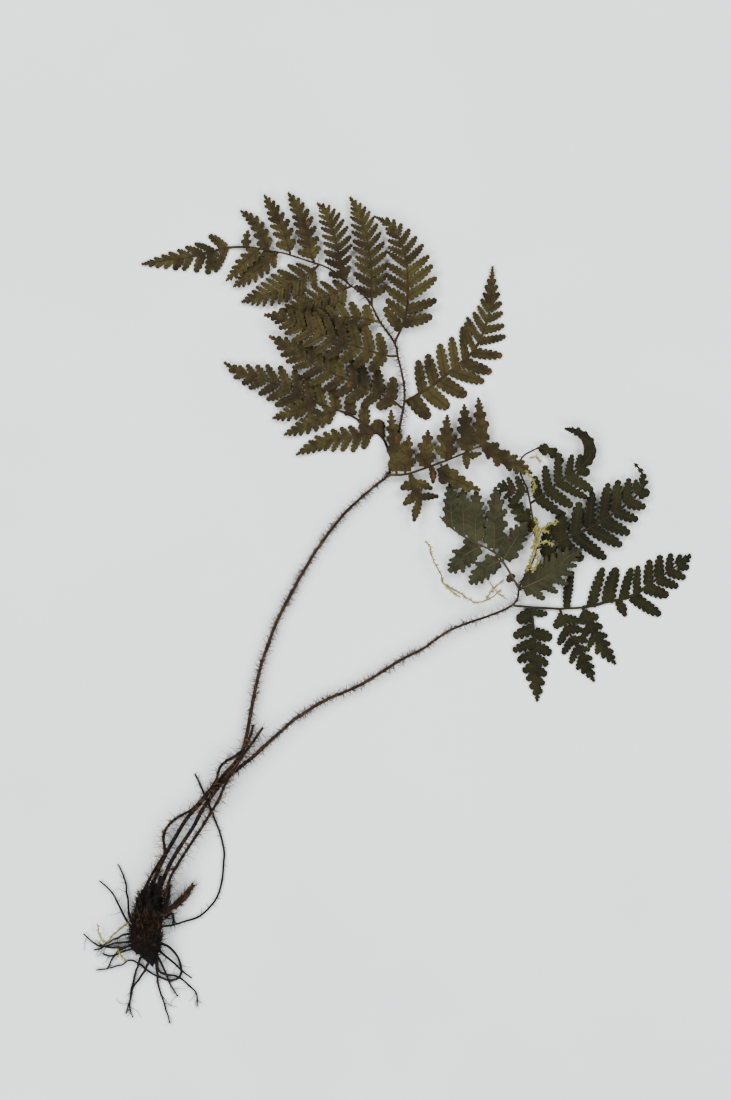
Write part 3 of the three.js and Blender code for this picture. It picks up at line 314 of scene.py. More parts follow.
@dataclass
class LeafSheet:
    """Builds the mesh of one pinna. Lengths are in mm and angles in degrees.

    Attributes:
        dead_spots: x, y and radius of its dry places.
        leaflet_fill, joined_fill: width of a leaflet against its room, standing alone or joined.
        long_leaflet_room: how much more room the longest leave free.
        tooth_share, tooth_depth: length and depth of a tooth against the half width of its leaflet.
        uneven: how much the depths of teeth differ.
        stubby: how short leaflets may get, against half their room, before two take the place of one.
        crowding: width that leaflets lose on the inside of a bend.
        auricle: swelling at a leaflet's foot, on the side that faces the tip of its rib.
        costa_end: share of its length where a rib stops.
        joined_lengths, wing_lengths: between these a leaflet, or its wing, comes free of the next.
        long_lengths: between these a leaflet comes to the room of the longest.
    """

    pinna: Pinna
    dead_spots: list[tuple[float, float, float]]
    leaflet_fill: float = 0.96
    long_leaflet_room: float = 0.02
    joined_fill: float = 0.97
    tooth_share: float = 0.96
    shortest_tooth: float = 1.35
    longest_tooth: float = 2.2
    uneven: float = 0.9
    tooth_depth: float = 0.36
    deepest_tooth: float = 0.85
    stubby: float = 1.3
    crowding: float = 0.45
    rib_half_width: float = 0.55
    auricle: float = 0.16
    vein_relief: float = 0.1
    most_relief: float = 0.27
    costa_radius: float = 0.3
    rib_step: float = 3.0
    wing_step: float = 1.5
    lone_step: float = 1.4
    vein_step: float = 1.1
    costa_step: float = 2.0
    costa_end: float = 0.98
    joined_lengths: Point = (3.6, 6.6)
    wing_lengths: Point = (3.4, 6.4)
    long_lengths: Point = (11.0, 15.0)
    slant_stray: float = 3.5

    def __post_init__(self) -> None:
        """Starts the sheet's own draws."""
        self.draws = random.Random(self.pinna.name)
        self.lobes: list[Lobe] = []
        self.outlines: list[list[Vector]] = []
        self.inner: list[Vector] = []
        self.level = LEVEL_HEIGHTS[self.pinna.level] + BLADE_ROOM / 2

    def build(self, finish: Material, costa_finish: Material) -> Object:
        """Builds the sheet and its ribs as one object.

        Args:
            finish: material of the leaflets.
            costa_finish: material of the ribs.

        Returns:
            The object, at the origin.
        """
        for blade in self.pinna.blades:
            self._lay_out(blade)
        shell = MeshDraft()
        self._fill_sheet(shell)
        for blade in self.pinna.blades:
            self._draw_costa(shell, blade)
        return shell.to_object(self.pinna.name + "_leaf", [finish, costa_finish])

    def _lay_out(self, blade: Blade) -> None:
        """Lays out one blade's rib and leaflets."""
        route = Route(blade.rib)
        if blade.is_lone:
            self._lay_out_lone_lobe(route, blade.rib_widths)
            return
        widths = blade.rib_widths or [self.rib_half_width, self.rib_half_width * 0.55]
        self._add_ribbon(route, widths)
        for side, row in ((1, blade.left), (-1, blade.right)):
            if row:
                self._lay_out_row(route, side, row)

    def _add_ribbon(self, route: Route, widths: list[float]) -> None:
        """Adds the plain band of a rib."""
        shares = route.shares(self.rib_step, 4)
        left, right = route.band([(share, along(widths, share)) for share in shares])
        self.outlines.append(left + right[::-1])

    def _lay_out_lone_lobe(self, route: Route, widths: list[float]) -> None:
        """Adds a leaflet that follows its own bent rib, with a toothed edge."""
        teeth = max(3, round(route.length / (1.3 * self.shortest_tooth)))
        left, right = route.band([
            (share, along(widths, share) * (1 + self.tooth_depth * (height - 0.6)))
            for _, share, height in toothed_edge(teeth)
        ])
        left.append(route.at(1.0) + route.heading(1.0) * 0.2)
        self.outlines.append(left + right[::-1])
        start, end = route.at(0), route.at(1)
        axis = (end - start).normalized()
        self.lobes.append(Lobe(
            base=start, axis=axis, across=turned(axis, 90), length=(end - start).length,
            half_width=max(widths), acroscopic=1, joined=1.0, teeth=teeth, tone=self.draws.random(),
            curl=self.draws.uniform(-0.1, 0.2), droop=self.draws.uniform(-0.1, 0.1),
        ))
        for i in range(1, round(route.length / self.lone_step)):
            self.inner.append(route.at(i * self.lone_step / route.length))

    def _lay_out_row(self, route: Route, side: int, row: Row) -> None:
        """Adds the leaflets on one side of a rib, 1 for its left."""
        def place(share: float) -> float:
            """Where a share of the row falls on the rib."""
            return row.start + (1 - row.start) * share * (1 + row.taper * (1 - share))

        def reach_at(t: float) -> float:
            """How far the row stands off the rib, drawn in to a point at its end."""
            share = (t - row.start) / (1 - row.start)
            return along(row.reach, share) * (1 - 0.55 * smoothstep(share, 0.88, 1.0))

        self._add_wing(route, side, row)
        i, step = 0.0, 1.0
        while i < row.count - 0.01:
            t = place((i + step / 2) / row.count)
            spacing = (place((i + step) / row.count) - place(i / row.count)) * route.length
            if step == 1.0 and i > row.count / 2 and reach_at(t) < self.stubby * spacing / 2:
                step = 0.5
                continue
            self._add_lobe(route, side, row, t, spacing, reach_at)
            i += step

    def _add_lobe(self, route: Route, side: int, row: Row, t: float, spacing: float,
                  reach_at: Callable[[float], float]) -> None:
        """Adds one leaflet of a row.

        Args:
            route: the rib.
            side: 1 for its left and -1 for its right.
            row: the row that it stands in.
            t: where it stands on the rib.
            spacing: room that it has along the rib, in mm.
            reach_at: how far the row stands off the rib at each place.
        """
        degrees = along(row.slant, t) + self.draws.uniform(-self.slant_stray, self.slant_stray)
        angle = math.radians(degrees)
        length = reach_at(t) / math.sin(angle)
        for _ in range(5):
            beside = t + length * math.cos(angle) / route.length
            length = (length + reach_at(beside) / math.sin(angle)) / 2
        length *= self.draws.uniform(0.95, 1.03)
        heading = route.heading(t)
        axis = turned(heading, side * degrees)
        across = turned(axis, 90)
        joined = 1 - smoothstep(length, *self.joined_lengths)
        fill = self.leaflet_fill + (self.joined_fill - self.leaflet_fill) * joined
        fill -= self.long_leaflet_room * smoothstep(length, *self.long_lengths)
        crowding = self._crowding(route, side, t, spacing / route.length)
        room = spacing * math.sin(angle) - crowding * length
        half_width = fill * self.pinna.spread * room / 2 * self.draws.uniform(0.94, 1.07)
        tooth = min(self.longest_tooth, max(self.shortest_tooth, self.tooth_share * half_width))
        lobe = Lobe(
            base=route.at(t), axis=axis, across=across, length=length, half_width=half_width,
            acroscopic=1 if across.dot(heading) > 0 else -1, joined=joined,
            teeth=max(2, round(length / tooth)), tone=self.draws.random(),
            curl=self.draws.uniform(-0.16, 0.22), droop=self.draws.uniform(-0.14, 0.14),
        )
        self.lobes.append(lobe)
        self._outline_lobe(lobe)

    def _crowding(self, route: Route, side: int, t: float, reach: float) -> float:
        """How much of its length a leaflet loses in width where the rib bends towards it."""
        before, after = route.heading(t - reach / 2), route.heading(t + reach / 2)
        bend = side * (before.x * after.y - before.y * after.x)
        return self.crowding * max(0.0, bend)

    def _add_wing(self, route: Route, side: int, row: Row) -> None:
        """Adds the leafy wing that joins short leaflets at their feet."""
        steps = max(4, round(route.length * (1 - row.start) / self.wing_step))
        near, far = [], []
        for i in range(steps + 1):
            share = i / steps
            reach = along(row.reach, share)
            joined = 1 - smoothstep(reach, *self.wing_lengths)
            short_wing, long_wing = self.pinna.wing
            wing = long_wing + (short_wing - long_wing) * joined
            width = self.rib_half_width * 0.4 + wing * reach * (1 - 0.7 * share ** 4)
            spot = row.start + (1 - row.start) * share
            normal = turned(route.heading(spot), 90) * side
            near.append(route.at(spot))
            far.append(route.at(spot) + normal * width)
        self.outlines.append(near + far[::-1])

    def _outline_lobe(self, lobe: Lobe) -> None:
        """Adds a leaflet's toothed outline and the points inside it."""
        bend = 0.05 * lobe.acroscopic * lobe.length
        depth = min(self.deepest_tooth, self.tooth_depth * lobe.half_width) * (1 - 0.2 * lobe.joined)

        def spot(share: float, offset: float) -> Vector:
            """A place beside the leaflet's bent midvein."""
            bow = bend * (share * share - share)
            return lobe.base + lobe.axis * (share * lobe.length) + lobe.across * (offset + bow)

        sides: list[list[Vector]] = []
        for side in (1, -1):
            rim = []
            for tooth, share, height in toothed_edge(lobe.teeth):
                width = edge_width(lobe, share)
                if side == lobe.acroscopic:
                    width *= 1 + self.auricle * math.exp(-(((share - 0.17) / 0.1) ** 2))
                odd = 1 + self.uneven * noise.noise(Vector((tooth * 1.7, lobe.tone * 40, side * 3.1)))
                width += depth * odd * (height - 0.85) * smoothstep(share, 0.02, 0.16)
                rim.append(spot(share, side * max(width, 0.06)))
            sides.append(rim)
        tip = spot(1.0, 0.0) + lobe.axis * 0.12
        self.outlines.append([*sides[0], tip, *sides[1][::-1]])
        steps = max(2, round(lobe.length / self.vein_step))
        for i in range(1, steps):
            share = i / steps
            self.inner.append(spot(share, 0.0))
            if lobe.half_width > 0.9:
                for side in (0.52, -0.52):
                    self.inner.append(spot(share - 0.3 / steps, side * edge_width(lobe, share)))

    def _fill_sheet(self, shell: "MeshDraft") -> None:
        """Fills the joined outlines with one thin raised and sunk sheet."""
        places: list[Vector] = []
        faces: list[list[int]] = []
        for outline in self.outlines:
            area = sum(a.x * b.y - b.x * a.y for a, b in zip(outline, outline[1:] + outline[:1]))
            ordered = outline if area > 0 else outline[::-1]
            faces.append(list(range(len(places), len(places) + len(ordered))))
            places.extend(point.to_2d() for point in ordered)
        places.extend(point.to_2d() for point in self.inner)
        found, _, triangles, _, _, owners = delaunay_2d_cdt(places, [], faces, 0, 1e-4)
        kept = [tuple(face) for face, owner in zip(triangles, owners) if owner]
        used = sorted({index for face in kept for index in face})
        renumbered = {old: new for new, old in enumerate(used)}
        flat = np.array([(found[old][0], found[old][1]) for old in used])
        tops = np.array([[renumbered[index] for index in face] for face in kept])
        vertex_lobe, share, side = self._nearest_lobe(flat)
        middles = flat[tops].mean(axis=1)
        face_lobe, _, _ = self._nearest_lobe(middles)
        shell.add_sheet(
            flat, tops, self._heights(flat, vertex_lobe, share, side), BLADE_THICKNESS,
            self._corner_map(flat, tops, face_lobe), self._of_lobes("tone", face_lobe), self._deadness(flat),
        )

    def _of_lobes(self, name: str, index: np.ndarray) -> np.ndarray:
        """One value of the leaflets that the index names."""
        return np.array([getattr(lobe, name) for lobe in self.lobes])[index]

    def _local(self, flat: np.ndarray, index: np.ndarray) -> tuple[np.ndarray, np.ndarray]:
        """Share along and side offset of points in the leaflets that the index names."""
        axis = self._of_lobes("axis", index)[..., :2]
        offset = flat - self._of_lobes("base", index)[..., :2]
        share = (offset * axis).sum(axis=-1) / self._of_lobes("length", index)
        side = axis[..., 0] * offset[..., 1] - axis[..., 1] * offset[..., 0]
        return share, side / self._of_lobes("half_width", index)

    def _nearest_lobe(self, flat: np.ndarray) -> tuple[np.ndarray, np.ndarray, np.ndarray]:
        """The leaflet that each point belongs to, and its place in it."""
        count = len(self.lobes)
        index = np.broadcast_to(np.arange(count), (len(flat), count))
        share, side = self._local(flat[:, None, :], index)
        outside = np.maximum(np.abs(side), np.abs(share - 0.5) * 2)
        best = outside.argmin(axis=1)
        rows = np.arange(len(flat))
        return best, share[rows, best], side[rows, best]

    def _heights(self, flat: np.ndarray, owner: np.ndarray, share: np.ndarray,
                 side: np.ndarray) -> np.ndarray:
        """Height of the sheet's middle at each point, in mm."""
        names = ("curl", "droop", "half_width", "teeth")
        curl, droop, half, teeth = (self._of_lobes(name, owner) for name in names)
        away = np.clip(np.abs(side), 0, 1)
        sign = 1.0 if self.pinna.leaf is Leaf.UNDERSIDE else -1.0
        midvein = sign * self.vein_relief * np.exp(-((away * half / 0.35) ** 2))
        side_veins = 0.05 * np.cos(2 * math.pi * (teeth * share - 0.8 * away)) * away
        relief = midvein + side_veins + curl * (away ** 2 - 0.3) + droop * np.clip(share, 0, 1) ** 2
        third = self.pinna.level * 3.1
        ripple = np.array([noise.noise(Vector((x * 0.13, y * 0.13, third))) for x, y in flat])
        relief = np.clip(relief + 0.16 * ripple, -self.most_relief, self.most_relief)
        wave = np.array([sheet_wave(x, y) for x, y in flat])
        return np.maximum(self.level + relief, BLADE_THICKNESS / 2 + 0.01) + wave

    def _deadness(self, flat: np.ndarray) -> np.ndarray:
        """How brown and dry each point is, from 0 to 1."""
        dead = np.zeros(len(flat))
        for x, y, radius in self.dead_spots:
            away = ((flat[:, 0] - x) ** 2 + (flat[:, 1] - y) ** 2) / (radius * radius)
            dead = np.maximum(dead, np.exp(-away * 2.6))
        return dead

    def _corner_map(self, flat: np.ndarray, tops: np.ndarray, owner: np.ndarray) -> np.ndarray:
        """The leaf map at each face corner: length along in cm, and side from 0 to 1."""
        index = np.repeat(owner[:, None], 3, axis=1)
        share, side = self._local(flat[tops], index)
        along_cm = share * self._of_lobes("length", index) * 0.1
        return np.stack([along_cm, np.clip(side, -1.4, 1.4) * 0.5 + 0.5], axis=-1)

    def _draw_costa(self, shell: "MeshDraft", blade: Blade) -> None:
        """Draws the raised rib on the sheet, joined to the rachis at its foot."""
        if blade.is_lone:
            return
        route = Route(blade.rib)
        first = blade is self.pinna.blades[0]
        thick = self.costa_radius * (1.0 if first else 0.7)
        thick *= 1.25 if self.pinna.leaf is Leaf.UNDERSIDE else 1.0
        places, radii = [], []
        for even_share in route.shares(self.costa_step, 4):
            share = self.costa_end * even_share
            spot = route.at(share)
            foot = 1 - smoothstep(share * route.length, 0.5, 4.0) if first else 0.0
            height = self.level + 0.08 + (RACHIS_HEIGHT - self.level) * foot + sheet_wave(spot.x, spot.y)
            places.append(Vector((spot.x, spot.y, height)))
            radii.append(thick * (1 - 0.72 * share) * (1 + 0.25 * foot))
        shell.add_tube(places, radii, 6, finish=1)


def linked(name: str, data: bpy.types.ID) -> Object:
    """A new object in the scene, at the origin."""
    made = bpy.data.objects.new(name, data)
    bpy.context.scene.collection.objects.link(made)
    return made


class MeshDraft:
    """Collects points, faces and maps of one piece, in mm."""

    PLAIN_TONE = 0.5
    TUBE_MAP = 0.1
    LOFT_MAP = 0.06

    def __init__(self) -> None:
        """Starts empty."""
        self.points: list[np.ndarray] = []
        self.count = 0
        self.faces: list[list[int]] = []
        self.finishes: list[int] = []
        self.smooth: list[bool] = []
        self.uvs: list[Point] = []
        self.tones: list[float] = []
        self.dead: list[np.ndarray] = []
        self.grow: list[np.ndarray] = []
        self.fuzz: list[np.ndarray] = []

    def _add_points(self, points: np.ndarray, dead: np.ndarray | None = None,
                    grow: np.ndarray | None = None, fuzz: np.ndarray | None = None) -> int:
        """Adds points and returns the number of the first."""
        first = self.count
        self.points.append(points)
        self.count += len(points)
        self.dead.append(np.zeros(len(points)) if dead is None else dead)
        self.grow.append(np.zeros((len(points), 3)) if grow is None else grow)
        self.fuzz.append(np.zeros(len(points)) if fuzz is None else fuzz)
        return first

    def _add_face(self, corners: list[int], uvs: list[Point], finish: int = 0,
                  tone: float = PLAIN_TONE, smooth: bool = True) -> None:
        """Adds one face with its map."""
        self.faces.append(corners)
        self.uvs.extend(uvs)
        self.finishes.append(finish)
        self.tones.append(tone)
        self.smooth.append(smooth)

    def _add_rings(self, first: int, sides: int, reaches: list[float], finish: int = 0) -> None:
        """Adds the faces between rings of points.

        Args:
            first: number of the first point of the first ring.
            sides: points in each ring.
            reaches: where each ring lies on the map.
            finish: number of the material.
        """
        for i, (low, high) in enumerate(zip(reaches, reaches[1:])):
            ring, above = first + i * sides, first + (i + 1) * sides
            for k in range(sides):
                following = (k + 1) % sides
                around, beyond = k / sides, (k + 1) / sides
                self._add_face(
                    [ring + k, ring + following, above + following, above + k],
                    [(low, around), (low, beyond), (high, beyond), (high, around)], finish,
                )

    def add_sheet(self, flat: np.ndarray, tops: np.ndarray, heights: np.ndarray, thickness: float,
                  corner_map: np.ndarray, tones: np.ndarray, dead: np.ndarray) -> None:
        """Adds a closed thin sheet.

        Args:
            flat: its points seen from above.
            tops: triangles of its upper face.
            heights: height of its middle at each point.
            thickness: in mm.
            corner_map: leaf map at each corner of the upper face.
            tones: one draw for each triangle.
            dead: how dry each point is.
        """
        upper = np.column_stack([flat, heights + thickness / 2])
        lower = np.column_stack([flat, heights - thickness / 2])
        first = self._add_points(np.vstack([upper, lower]), np.concatenate([dead, dead]))
        shift = first + len(flat)
        rim: dict[tuple[int, int], tuple[int, Point, Point]] = {}
        for number, (face, places) in enumerate(zip(tops.tolist(), corner_map.tolist())):
            tone = float(tones[number])
            maps = [tuple(place) for place in places]
            self._add_face([first + corner for corner in face], maps, tone=tone)
            self._add_face([shift + corner for corner in face[::-1]], maps[::-1], tone=tone)
            for k in range(3):
                start, end = face[k], face[(k + 1) % 3]
                if (end, start) in rim:
                    del rim[(end, start)]
                else:
                    rim[(start, end)] = (number, maps[k], maps[(k + 1) % 3])
        for (start, end), (number, start_map, end_map) in rim.items():
            self._add_face(
                [first + start, shift + start, shift + end, first + end],
                [start_map, start_map, end_map, end_map], tone=float(tones[number]), smooth=False,
            )

    def add_tube(self, places: list[Vector], radii: list[float], sides: int, finish: int = 0,
                 groove: float = 0.0, fuzz: list[float] | None = None) -> None:
        """Adds a closed tube with flat ends.

        Args:
            places: its middle line.
            radii: one for each place.
            sides: corners of each ring.
            finish: number of its material.
            groove: depth of the channel on its upper side, as a share of its radius.
            fuzz: how thickly it is covered, one for each place.
        """
        rings, grow, cover = [], [], []
        count = len(places)
        for i, (middle, radius) in enumerate(zip(places, radii)):
            heading = (places[min(i + 1, count - 1)] - places[max(i - 1, 0)]).normalized()
            left = Vector((-heading.y, heading.x, 0))
            left = left.normalized() if left.length > 1e-6 else Vector((1, 0, 0))
            up = heading.cross(left)
            up = up if up.z >= 0 else -up
            for k in range(sides):
                angle = 2 * math.pi * k / sides
                dip = groove * math.exp(-((1 - math.sin(angle)) / 0.18) ** 2)
                rings.append(middle + (left * math.cos(angle) + up * math.sin(angle)) * radius * (1 - dip))
                grow.append(heading)
                cover.append(fuzz[i] if fuzz else 0.0)
        rings.extend([places[0], places[-1]])
        grow.extend([grow[0], grow[-1]])
        cover.extend([0.0, 0.0])
        first = self._add_points(np.array(rings), None, np.array(grow), np.array(cover))
        reached = [0.0]
        for start, end in zip(places, places[1:]):
            reached.append(reached[-1] + (end - start).length)
        self._add_rings(first, sides, [reach * self.TUBE_MAP for reach in reached], finish)
        last = first + (count - 1) * sides
        start_middle = last + sides
        for k in range(sides):
            following = (k + 1) % sides
            self._add_face([start_middle, first + following, first + k], [(0, 0)] * 3, finish, smooth=False)
            self._add_face([start_middle + 1, last + k, last + following], [(0, 0)] * 3, finish, smooth=False)

    def add_loft(self, points: np.ndarray, rings: int, sides: int, grow: np.ndarray,
                 warm: np.ndarray) -> None:
        """Adds a closed body from rings of points whose first and last rings are drawn together."""
        first = self._add_points(points, warm, grow, np.ones(len(points)))
        self._add_rings(first, sides, [ring * self.LOFT_MAP for ring in range(rings)])

    def to_object(self, name: str, finishes: list[Material]) -> Object:
        """Makes the object, in metres, with its maps and attributes.

        Args:
            name: the object's name.
            finishes: its materials, in the order that faces number them.

        Returns:
            The object, linked to the scene and at the origin.
        """
        mesh = bpy.data.meshes.new(name)
        points = np.vstack(self.points) * MM
        mesh.from_pydata(points.tolist(), [], self.faces)
        for finish in finishes:
            mesh.materials.append(finish)
        mesh.polygons.foreach_set("material_index", self.finishes)
        mesh.polygons.foreach_set("use_smooth", self.smooth)
        uv_layer = mesh.uv_layers.new(name="piece_map")
        uv_layer.data.foreach_set("uv", np.array(self.uvs, np.float32).ravel())
        for label, kind, domain, values in (
            ("tone", "FLOAT", "FACE", np.array(self.tones)),
            ("dead", "FLOAT", "POINT", np.concatenate(self.dead)),
            ("grow", "FLOAT_VECTOR", "POINT", np.vstack(self.grow)),
            ("fuzz", "FLOAT", "POINT", np.concatenate(self.fuzz)),
        ):
            stored = mesh.attributes.new(label, kind, domain)
            field_name = "vector" if kind == "FLOAT_VECTOR" else "value"
            stored.data.foreach_set(field_name, values.astype(np.float32).ravel())
        mesh.update()
        return linked(name, mesh)


# Finishes

@dataclass
class NodeDesk:
    """Adds and joins nodes in one node tree."""

    tree: NodeTree

    def add(self, kind: str, **settings: object) -> Node:
        """Adds a node and sets its properties."""
        node = self.tree.nodes.new(kind)
        for name, value in settings.items():
            setattr(node, name, value)
        return node

    def join(self, source: Socket, target: Socket) -> None:
        """Joins an output to an input."""
        self.tree.links.new(source, target)

    def fed(self, kind: str, inputs: dict[str | int, object], **settings: object) -> Node:
        """Adds a node and feeds its inputs.

        Args:
            kind: what Blender calls it.
            inputs: an output to join or a plain value, for each input by name or number.
            settings: its properties.

        Returns:
            The node.
        """
        node = self.add(kind, **settings)
        for name, value in inputs.items():
            if isinstance(value, Socket):
                self.join(value, node.inputs[name])
            else:
                node.inputs[name].default_value = value
        return node

    def sums(self, operation: str, *values: object) -> Socket:
        """One Math node's output."""
        return self.fed("ShaderNodeMath", dict(enumerate(values)), operation=operation).outputs[0]

    def blend(self, share: Socket, first: object, second: object) -> Socket:
        """Mixes two colours."""
        return self.fed("ShaderNodeMix", {0: share, 6: first, 7: second}, data_type="RGBA").outputs[2]

    def band(self, value: Socket, low: object, high: object) -> Socket:
        """Eases from 0 at low to 1 at high."""
        inputs = {0: value, 1: low, 2: high, 3: 0.0, 4: 1.0}
        return self.fed("ShaderNodeMapRange", inputs, interpolation_type="SMOOTHSTEP").outputs[0]

    def clouds(self, place: Socket, scale: float, detail: float = 3.0, roughness: float = 0.55) -> Socket:
        """A noise value around one half."""
        inputs = {"Vector": place, "Scale": scale, "Detail": detail, "Roughness": roughness}
        return self.fed("ShaderNodeTexNoise", inputs).outputs["Fac"]

    def object_place(self) -> Socket:
        """Object coordinates."""
        return self.add("ShaderNodeTexCoord").outputs["Object"]

    def piece_map(self) -> Socket:
        """The map that every piece carries."""
        return self.add("ShaderNodeUVMap", uv_map="piece_map").outputs[0]

    def attribute(self, name: str) -> Socket:
        """A number stored on the piece."""
        return self.add("ShaderNodeAttribute", attribute_name=name).outputs["Fac"]


def shader_group(name: str, inputs: dict[str, str],
                 outputs: dict[str, str]) -> tuple[NodeDesk, SocketList, SocketList]:
    """Starts a shader node group.

    Args:
        name: the group's name.
        inputs, outputs: the kind of each named socket.

    Returns:
        The desk of its tree, the sockets that bring its inputs, and those that take its outputs.
    """
    desk = NodeDesk(bpy.data.node_groups.new(name, "ShaderNodeTree"))
    for way, sockets in (("INPUT", inputs), ("OUTPUT", outputs)):
        for label, kind in sockets.items():
            desk.tree.interface.new_socket(label, in_out=way, socket_type="NodeSocket" + kind)
    return desk, desk.add("NodeGroupInput").outputs, desk.add("NodeGroupOutput").inputs


def dried_mottle_group() -> NodeTree:
    """Mottling of dried tissue: broad patches, small flecks and a fine wrinkle height."""
    desk, given, made = shader_group(
        "dried_mottle",
        {"Place": "Vector", "Plain": "Color", "Shade": "Color", "Fleck": "Color", "Fleck Share": "Float"},
        {"Colour": "Color", "Wrinkle": "Float"},
    )
    broad = desk.clouds(given["Place"], 70, 4)
    middle = desk.clouds(given["Place"], 420, 5, 0.65)
    fine = desk.clouds(given["Place"], 2600, 3, 0.6)
    patches = desk.sums("MULTIPLY_ADD", broad, 0.65, desk.sums("MULTIPLY", middle, 0.35))
    colour = desk.blend(desk.band(patches, 0.36, 0.64), given["Plain"], given["Shade"])
    limit = desk.sums("SUBTRACT", 0.78, given["Fleck Share"])
    grain = desk.sums("MULTIPLY_ADD", middle, 0.6, desk.sums("MULTIPLY", fine, 0.4))
    flecks = desk.band(grain, limit, desk.sums("ADD", limit, 0.07))
    wrinkle = desk.sums("MULTIPLY_ADD", fine, 0.4, desk.sums("MULTIPLY", middle, 0.6))
    desk.join(desk.blend(flecks, colour, given["Fleck"]), made["Colour"])
    desk.join(wrinkle, made["Wrinkle"])
    return desk.tree


def leaf_vein_group() -> NodeTree:
    """Midvein and forward side veins, read from the leaf map: centimetres along and 0 to 1 across."""
    desk, given, made = shader_group(
        "leaf_veins", {"Along": "Float", "Across": "Float"}, {"Midvein": "Float", "Side Veins": "Float"},
    )
    away = desk.sums("ABSOLUTE", desk.sums("SUBTRACT", given["Across"], 0.5))
    run = desk.sums("MULTIPLY", given["Along"], 6.5)
    run = desk.sums("SUBTRACT", run, desk.sums("MULTIPLY", away, 1.5))
    crest = desk.sums("ABSOLUTE", desk.sums("SUBTRACT", desk.sums("FRACT", run), 0.5))
    line = desk.sums("SUBTRACT", 1.0, desk.band(crest, 0.05, 0.16))
    fade = desk.sums("SUBTRACT", 1.0, desk.band(away, 0.34, 0.5))
    desk.join(desk.sums("SUBTRACT", 1.0, desk.band(away, 0.03, 0.13)), made["Midvein"])
    desk.join(desk.sums("MULTIPLY", line, fade), made["Side Veins"])
    return desk.tree


def lengthwise_grain_group() -> NodeTree:
    """Fine ridges along a stalk, read from its map: centimetres along and 0 to 1 around."""
    desk, given, made = shader_group(
        "lengthwise_grain", {"Map": "Vector", "Ridges": "Float"}, {"Grain": "Float", "Bands": "Float"},
    )
    reach = desk.fed("ShaderNodeCombineXYZ", {0: 1.6, 1: given["Ridges"]}).outputs[0]
    stretch = desk.fed("ShaderNodeVectorMath", {0: given["Map"], 1: reach}, operation="MULTIPLY")
    desk.join(desk.clouds(stretch.outputs[0], 1.0, 4, 0.6), made["Grain"])
    desk.join(desk.clouds(given["Map"], 0.9, 3, 0.6), made["Bands"])
    return desk.tree


@dataclass
class SharedGroups:
    """The effects that several finishes use."""

    mottle: NodeTree
    veins: NodeTree
    grain: NodeTree

    @classmethod
    def make(cls) -> "SharedGroups":
        """Builds each group once."""
        return cls(dried_mottle_group(), leaf_vein_group(), lengthwise_grain_group())


def start_finish(name: str, roughness: float, specular: float) -> tuple[Material, NodeDesk, Node]:
    """Starts a material.

    Args:
        name: the material's name.
        roughness, specular: set on the shader's own sockets.

    Returns:
        The material, its desk and its shader.
    """
    finish = bpy.data.materials.new(name)
    finish.use_nodes = True
    shader = finish.node_tree.nodes["Principled BSDF"]
    shader.inputs["Roughness"].default_value = roughness
    shader.inputs["Specular IOR Level"].default_value = specular
    return finish, NodeDesk(finish.node_tree), shader


def dress(desk: NodeDesk, shader: Node, colour: Socket, roughness: Socket, height: Socket,
          depth: float, strength: float = 0.8) -> None:
    """Joins what a finish works out to its shader.

    Args:
        desk, shader: of the material.
        colour, roughness: for the shader's own sockets.
        height: turned into a bump.
        depth: of the bump, in metres.
        strength: of the bump.
    """
    bump = desk.fed("ShaderNodeBump", {"Strength": strength, "Distance": depth, "Height": height})
    desk.join(colour, shader.inputs["Base Color"])
    desk.join(roughness, shader.inputs["Roughness"])
    desk.join(bump.outputs["Normal"], shader.inputs["Normal"])


@dataclass(frozen=True)
class LeafFinish:
    """Dried leaf tissue of one face of a frond."""

    name: str
    plain: Colour
    shade: Colour
    fleck: Colour
    vein: Colour
    dead: Colour
    dead_dark: Colour
    fleck_share: float
    vein_share: float
    side_vein_share: float
    roughness: float = 0.62

    def make(self, groups: SharedGroups) -> Material:
        """Builds the material."""
        finish, desk, shader = start_finish(self.name, self.roughness, 0.1)
        place = desk.object_place()
        mottle = desk.fed("ShaderNodeGroup", {
            "Place": place, "Plain": self.plain, "Shade": self.shade, "Fleck": self.fleck,
            "Fleck Share": self.fleck_share,
        }, node_tree=groups.mottle)
        leaf_map = desk.fed("ShaderNodeSeparateXYZ", {0: desk.piece_map()}).outputs
        veins = desk.fed("ShaderNodeGroup", {"Along": leaf_map[0], "Across": leaf_map[1]},
                         node_tree=groups.veins).outputs
        tone = desk.attribute("tone")
        lit = desk.fed("ShaderNodeHueSaturation", {
            "Color": mottle.outputs["Colour"], "Value": desk.sums("MULTIPLY_ADD", tone, 0.5, 0.76),
            "Hue": desk.sums("MULTIPLY_ADD", tone, 0.02, 0.49),
        }).outputs[0]
        side_veins = desk.sums("MULTIPLY", veins["Side Veins"], self.side_vein_share)
        midvein = desk.sums("MULTIPLY", veins["Midvein"], self.vein_share)
        colour = desk.blend(midvein, desk.blend(side_veins, lit, self.vein), self.vein)
        blotch = desk.sums("SUBTRACT", desk.clouds(place, 500, 4, 0.65), 0.5)
        dryness = desk.sums("ADD", desk.attribute("dead"), desk.sums("MULTIPLY", blotch, 1.5))
        brown = desk.blend(desk.band(desk.clouds(place, 900, 3), 0.4, 0.62), self.dead, self.dead_dark)
        colour = desk.blend(desk.band(dryness, 0.45, 0.75), colour, brown)
        wrinkle = mottle.outputs["Wrinkle"]
        rise = desk.sums("MULTIPLY_ADD", veins["Side Veins"], 0.35, wrinkle)
        rise = desk.sums("MULTIPLY_ADD", veins["Midvein"], 0.5, rise)
        rough = desk.sums("MULTIPLY_ADD", wrinkle, 0.3, self.roughness - 0.15)
        dress(desk, shader, colour, rough, rise, 0.00016)
        return finish


